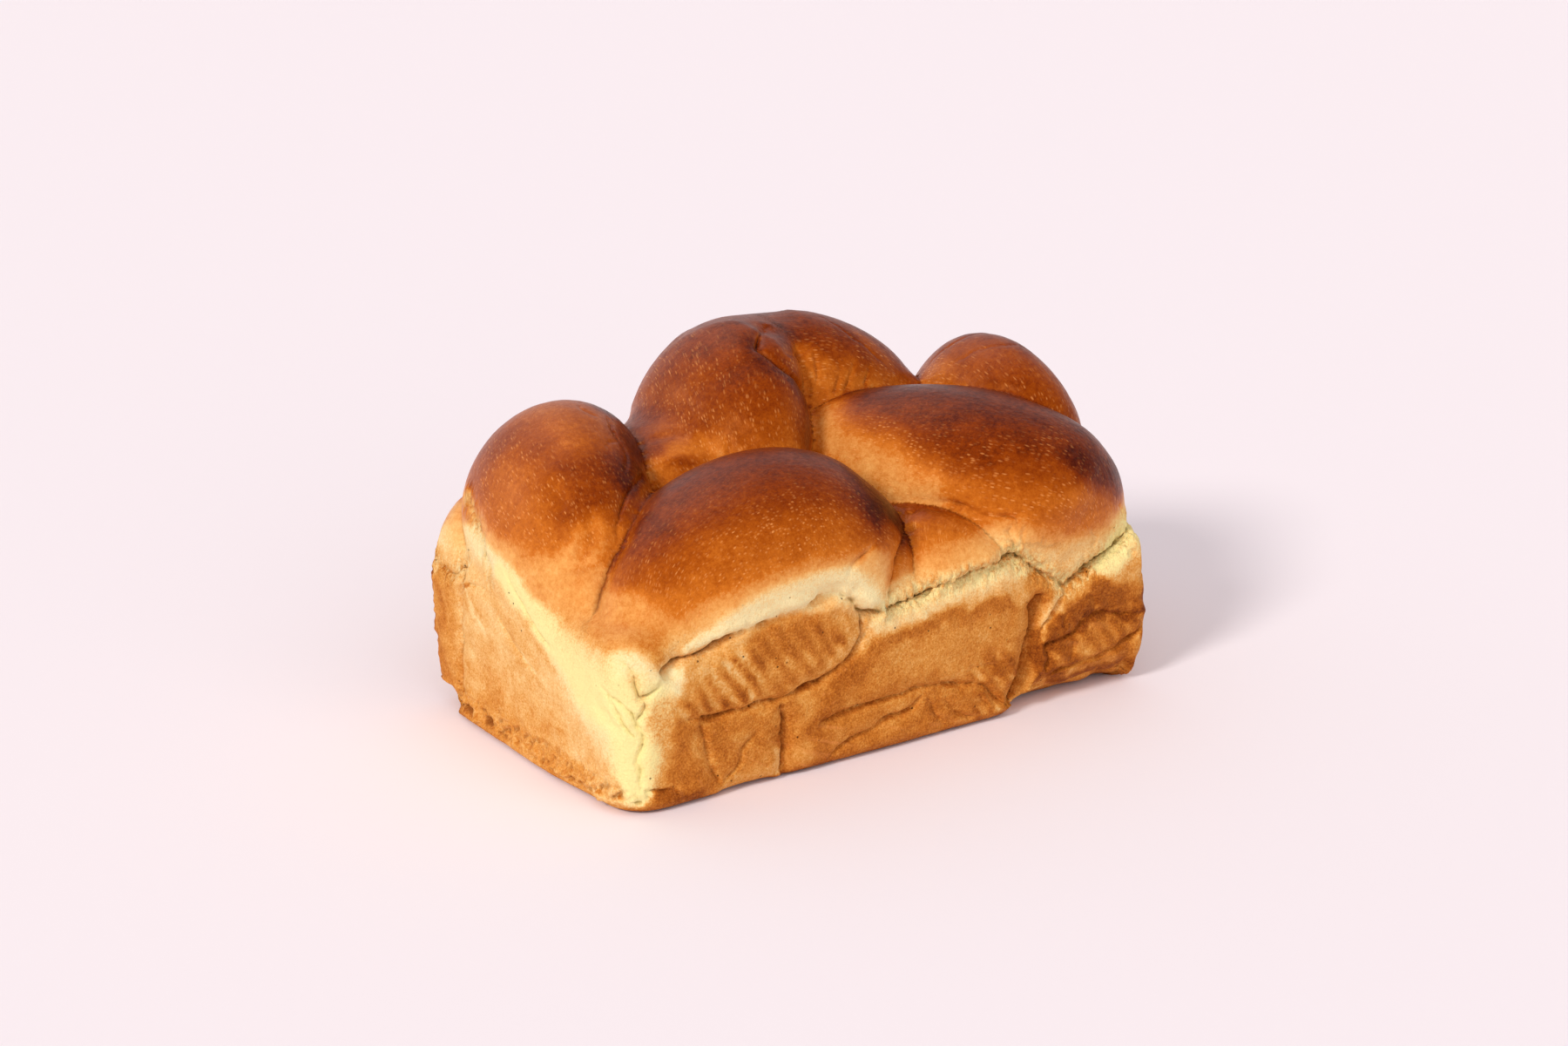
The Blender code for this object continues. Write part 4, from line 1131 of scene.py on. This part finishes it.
# %% [markdown]
# ## Store the numbers on the mesh
#
# A material can read named numbers that the mesh carries at each of its points. The loaf carries how brown and how
# glazed each point is, how buttery yellow the pale dough shows, how much it blistered, how near a tear it is, how
# much shade is painted at the bottom of a fold or of a dip between ropes, and its place on its own rope.
#
# By now the skin has far more faces than its smooth parts need. A Decimate modifier merges about half of them. It
# takes the flattest first, so the folds keep theirs, and the stored numbers are blended as points merge.

# %% Make the loaf's object
MOST_TRIANGLES = 192_000


def carry(mesh, name, values):
    """Stores one number at each point of a mesh under a name."""
    mesh.attributes.new(name, "FLOAT", "POINT").data.foreach_set("value", np.asarray(values, np.float32))


carry(skin, "browning", browning)
carry(skin, "glaze", glaze)
carry(skin, "butter", butter)
carry(skin, "blisters", blisters)
carry(skin, "torn", torn)
# These numbers are painted shade, for the bottoms of folds, of the dips between ropes and of the crumbly foot.
carry(skin, "fold", np.clip(painted_fold_shade, 0, 1))
skin.attributes.new("strand", "FLOAT_VECTOR", "POINT").data.foreach_set("vector", (strand * MM).ravel())
low, high = places.min(axis=0), places.max(axis=0)
own_middle = (low + high) / 2
shift = np.array([solid_middle[0] - own_middle[0], solid_middle[1] - own_middle[1], solid_box[0][2] / MM])
put_places(skin, places + shift)
for face in skin.polygons:
    face.use_smooth = True
loaf = bpy.data.objects.new("crusty_loaf", skin)
bpy.context.scene.collection.objects.link(loaf)
triangles = sum(len(face.vertices) - 2 for face in skin.polygons)
loaf.modifiers.new("merge_flat_faces", "DECIMATE").ratio = MOST_TRIANGLES / triangles
print("moved onto the solid by", shift.round(2), "mm; triangles:", triangles)

# %% [markdown]
# ## The crust
#
# Crust is dried, browned dough. Starch and egg give it an index of refraction near 1.4, it is no metal, and its
# finish goes from almost matt on the tin side to the soft shine of baked egg wash on top. What the eye reads as
# bread is the colour: a path from cream through straw and gold to chestnut and nearly black. The glazed path is
# redder, because egg browns redder than flour, so there are two colour ramps and the glaze picks between them.
# On top of the browning go the small things: mottling, the pale pinpoint blisters that steam raises under the
# glaze, dark pores on the walls, and a thin painted shade at the bottom of each fold. Their sizes are real ones, in
# millimetres, turned into texture scales.

# %% Mix the crust
def per_metre(size_mm):
    """The texture scale that repeats about every size_mm."""
    return 1.0 / (size_mm * MM)


TIN_SIDE = [
    (0.0, "f6e4ae"), (0.14, "f3d294"), (0.28, "ebb66f"), (0.40, "dc9848"), (0.52, "c87b2f"), (0.64, "ab5f1e"),
    (0.78, "854113"), (0.92, "4a1f09"),
]
GLAZED_SIDE = [
    (0.0, "f8dfa0"), (0.2, "f0bd74"), (0.35, "e09a50"), (0.5, "c66c1e"), (0.65, "a34c0a"), (0.8, "803002"),
    (0.92, "541401"), (1.0, "360500"),
]
# The last two colours are painted shade for the bottoms of folds, one for pale dough and one for baked dough.
BUTTER, BLISTER, PORE, PALE_FOLD_SHADE, BROWN_FOLD_SHADE = "f6e89c", "ec9c54", "4a220c", "a08a3c", "7c3e16"

crust = bpy.data.materials.new("baked_egg_washed_crust")
crust.use_nodes = True
tree = crust.node_tree
shader = tree.nodes["Principled BSDF"]
CARRIED, NOISE, CELLS = "ShaderNodeAttribute", "ShaderNodeTexNoise", "ShaderNodeTexVoronoi"
MATH, RANGE, MIX, PATH = "ShaderNodeMath", "ShaderNodeMapRange", "ShaderNodeMix", "ShaderNodeValToRGB"
spot = add_node(tree, "ShaderNodeTexCoord", output="Object")
browned = add_node(tree, CARRIED, {"attribute_name": "browning"}, output="Fac")
glazed = add_node(tree, CARRIED, {"attribute_name": "glaze"}, output="Fac")
matt = add_node(tree, MATH, {"operation": "SUBTRACT"}, {0: 1.0, 1: glazed})
mottle = add_node(tree, NOISE, {}, {"Vector": spot, "Scale": per_metre(7.0), "Detail": 3.0, "Roughness": 0.55})
flecks = add_node(tree, NOISE, {}, {"Vector": spot, "Scale": per_metre(1.7), "Detail": 4.0, "Roughness": 0.6})
crumbs = add_node(tree, NOISE, {}, {"Vector": spot, "Scale": per_metre(0.6), "Detail": 2.0, "Roughness": 0.5})
crumb_share = add_node(tree, RANGE, {}, {"Value": matt, "To Min": 0.14, "To Max": 0.42})
brown = add_node(tree, MATH, {"operation": "MULTIPLY_ADD"}, {0: mottle, 1: 0.18, 2: browned})
brown = add_node(tree, MATH, {"operation": "MULTIPLY_ADD"}, {0: flecks, 1: 0.26, 2: brown})
brown = add_node(tree, MATH, {"operation": "MULTIPLY_ADD"}, {0: crumbs, 1: crumb_share, 2: brown})
# Each noise has a mean of a half, so half of every share is taken off again.
brown = add_node(tree, MATH, {"operation": "MULTIPLY_ADD"}, {0: crumb_share, 1: -0.5, 2: brown})
brown = add_node(tree, MATH, {"operation": "SUBTRACT"}, {0: brown, 1: 0.5 * (0.18 + 0.26)})
# Near a tear the dough hangs in strings. They are upright stripes of noise, and cream shows between the baked ones.
hanging = add_node(tree, "ShaderNodeVectorMath", {"operation": "MULTIPLY"}, {0: spot, 1: (1.0, 1.0, 0.24)})
shreds = add_node(tree, NOISE, {}, {"Vector": hanging, "Scale": per_metre(1.3), "Detail": 3.0, "Roughness": 0.6})
torn_here = add_node(tree, CARRIED, {"attribute_name": "torn"}, output="Fac")
shreds = add_node(tree, MATH, {"operation": "SUBTRACT"}, {0: shreds, 1: 0.5})
shreds = add_node(tree, MATH, {"operation": "MULTIPLY"}, {0: shreds, 1: torn_here})
brown = add_node(tree, MATH, {"operation": "MULTIPLY_ADD", "use_clamp": True}, {0: shreds, 1: 0.6, 2: brown})
colours = []
for stops in (TIN_SIDE, GLAZED_SIDE):
    path = add_node(tree, PATH, {}, {"Fac": brown})
    while len(path.node.color_ramp.elements) < len(stops):
        path.node.color_ramp.elements.new(0.5)
    for element, (place, colour) in zip(path.node.color_ramp.elements, stops):
        element.position = place
        element.color = paint(colour)
    colours.append(path)
colour = add_node(tree, MIX, {"data_type": "RGBA"}, {0: glazed, 6: colours[0], 7: colours[1]}, 2)
buttery = add_node(tree, CARRIED, {"attribute_name": "butter"}, output="Fac")
pale = add_node(tree, RANGE, {}, {"Value": brown, "From Min": 0.36, "From Max": 0.06, "To Max": 0.75})
buttery = add_node(tree, MATH, {"operation": "MULTIPLY"}, {0: buttery, 1: pale})
colour = add_node(tree, MIX, {"data_type": "RGBA"}, {0: buttery, 6: colour, 7: paint(BUTTER)}, 2)
print("ramps:", len(TIN_SIDE), "and", len(GLAZED_SIDE), "colours")

# %% [markdown]
# Blisters are cells of a Voronoi pattern drawn in the rope's own two numbers, so they are stretched along the
# rope. Each cell is about as wide as the gap between two blisters, and the blister is the middle of the cell. A
# slow noise and each cell's own random number decide how strong it is, so that they gather in drifts. They are a
# little paler than the crust and stand a tenth of a millimetre proud. Pores are made the same way, with wider
# cells and small dark middles, on the tin side only. Then shade is painted into the bottoms of the folds and of the
# dips between ropes: yellow where the dough is pale, and brown where it is baked.

# %% Raise the blisters and open the pores
BLISTER_GAP, BLISTER_STRETCH, PORE_GAP = 0.7, 2.2, 4.2

strand_spot = add_node(tree, CARRIED, {"attribute_name": "strand"}, output="Vector")
on_rope = add_node(tree, "ShaderNodeVectorMath", {"operation": "MULTIPLY"}, {
    0: strand_spot, 1: (1 / BLISTER_STRETCH, 1.0, 1.0),
})
cell = add_node(tree, CELLS, {}, {"Vector": on_rope, "Scale": per_metre(BLISTER_GAP), "Randomness": 1.0})
blister = add_node(tree, RANGE, {}, {"Value": cell, "From Min": 0.46, "From Max": 0.2})
lot = add_node(tree, "ShaderNodeSeparateColor", {}, {"Color": cell.node.outputs["Color"]})
lot = add_node(tree, RANGE, {}, {"Value": lot, "From Min": 0.35, "From Max": 1.0})
drift = add_node(tree, NOISE, {}, {"Vector": spot, "Scale": per_metre(11.0), "Detail": 2.0})
drift = add_node(tree, RANGE, {}, {"Value": drift, "From Min": 0.34, "From Max": 0.6, "To Min": 0.35})
room = add_node(tree, CARRIED, {"attribute_name": "blisters"}, output="Fac")
blister = add_node(tree, MATH, {"operation": "MULTIPLY"}, {0: blister, 1: lot})
blister = add_node(tree, MATH, {"operation": "MULTIPLY"}, {0: blister, 1: drift})
blister = add_node(tree, MATH, {"operation": "MULTIPLY"}, {0: blister, 1: room})
paler = add_node(tree, MATH, {"operation": "MULTIPLY"}, {0: blister, 1: 0.75})
colour = add_node(tree, MIX, {"data_type": "RGBA"}, {0: paler, 6: colour, 7: paint(BLISTER)}, 2)

cell = add_node(tree, CELLS, {}, {"Vector": spot, "Scale": per_metre(PORE_GAP), "Randomness": 1.0})
pore = add_node(tree, RANGE, {}, {"Value": cell, "From Min": 0.09, "From Max": 0.045})
lot = add_node(tree, "ShaderNodeSeparateColor", {}, {"Color": cell.node.outputs["Color"]})
lot = add_node(tree, RANGE, {}, {"Value": lot, "From Min": 0.55, "From Max": 0.7, "To Max": 0.85})
pore = add_node(tree, MATH, {"operation": "MULTIPLY"}, {0: pore, 1: lot})
pore = add_node(tree, MATH, {"operation": "MULTIPLY"}, {0: pore, 1: matt})
colour = add_node(tree, MIX, {"data_type": "RGBA"}, {0: pore, 6: colour, 7: paint(PORE)}, 2)

# Shade painted into the bottoms of folds and of the dips between ropes.
fold_shade_share = add_node(tree, CARRIED, {"attribute_name": "fold"}, output="Fac")
fold_shade_share = add_node(tree, RANGE, {}, {"Value": fold_shade_share, "From Min": 0.12, "From Max": 0.8, "To Max": 0.9})
baked = add_node(tree, RANGE, {}, {"Value": brown, "From Min": 0.15, "From Max": 0.5})
shade = add_node(tree, MIX, {"data_type": "RGBA"}, {0: baked, 6: paint(PALE_FOLD_SHADE), 7: paint(BROWN_FOLD_SHADE)}, 2)
colour = add_node(tree, MIX, {"data_type": "RGBA", "blend_type": "MULTIPLY"}, {0: fold_shade_share, 6: colour, 7: shade}, 2)
print("nodes so far:", len(tree.nodes))

# %% [markdown]
# The finish follows the glaze. Baked egg wash is smooth at the scale of the eye but finely wrinkled, so its
# highlights are broad. Its brown skin warms what it reflects face on, and leaves the skimming light at the crests
# white, which is what the tint does. The bump carries only what is too fine for the mesh: the grain of the crust,
# the blisters and the pores.

# %% Set the finish
fine = add_node(tree, NOISE, {}, {"Vector": spot, "Scale": per_metre(0.7), "Detail": 4.0, "Roughness": 0.6})
broad = add_node(tree, NOISE, {}, {"Vector": spot, "Scale": per_metre(2.6), "Detail": 3.0, "Roughness": 0.55})
streaks = add_node(tree, NOISE, {}, {"Vector": on_rope, "Scale": per_metre(2.2), "Detail": 3.0, "Roughness": 0.55})
relief = add_node(tree, MATH, {"operation": "ADD"}, {0: fine, 1: broad})
coarseness = add_node(tree, RANGE, {}, {"Value": glazed, "To Min": 0.95, "To Max": 0.18})
relief = add_node(tree, MATH, {"operation": "MULTIPLY"}, {0: relief, 1: coarseness})
streaks = add_node(tree, MATH, {"operation": "MULTIPLY"}, {0: streaks, 1: glazed})
relief = add_node(tree, MATH, {"operation": "MULTIPLY_ADD"}, {0: streaks, 1: 0.5, 2: relief})
relief = add_node(tree, MATH, {"operation": "MULTIPLY_ADD"}, {0: blister, 1: 0.25, 2: relief})
relief = add_node(tree, MATH, {"operation": "MULTIPLY_ADD"}, {0: pore, 1: -1.5, 2: relief})
relief = add_node(tree, MATH, {"operation": "MULTIPLY_ADD"}, {0: shreds, 1: 4.0, 2: relief})
bump = add_node(tree, "ShaderNodeBump", {}, {"Height": relief, "Distance": 0.4 * MM, "Strength": 1.0}, "Normal")
rough = add_node(tree, RANGE, {}, {"Value": glazed, "To Min": 0.66, "To Max": 0.25})
rough = add_node(tree, MATH, {"operation": "MULTIPLY_ADD"}, {0: flecks, 1: 0.2, 2: rough})
tree.links.new(colour, shader.inputs["Base Color"])
tree.links.new(rough, shader.inputs["Roughness"])
tree.links.new(bump, shader.inputs["Normal"])
shader.inputs["IOR"].default_value = 1.38
shader.inputs["Metallic"].default_value = 0.0
shader.inputs["Specular Tint"].default_value = paint("c98a52")
skin.materials.clear()
skin.materials.append(crust)
print("crust nodes:", len(tree.nodes))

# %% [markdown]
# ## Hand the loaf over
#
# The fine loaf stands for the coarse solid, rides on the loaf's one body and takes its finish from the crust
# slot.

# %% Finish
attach(loaf, "root")
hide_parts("loaf")
bpy.context.view_layer.update()
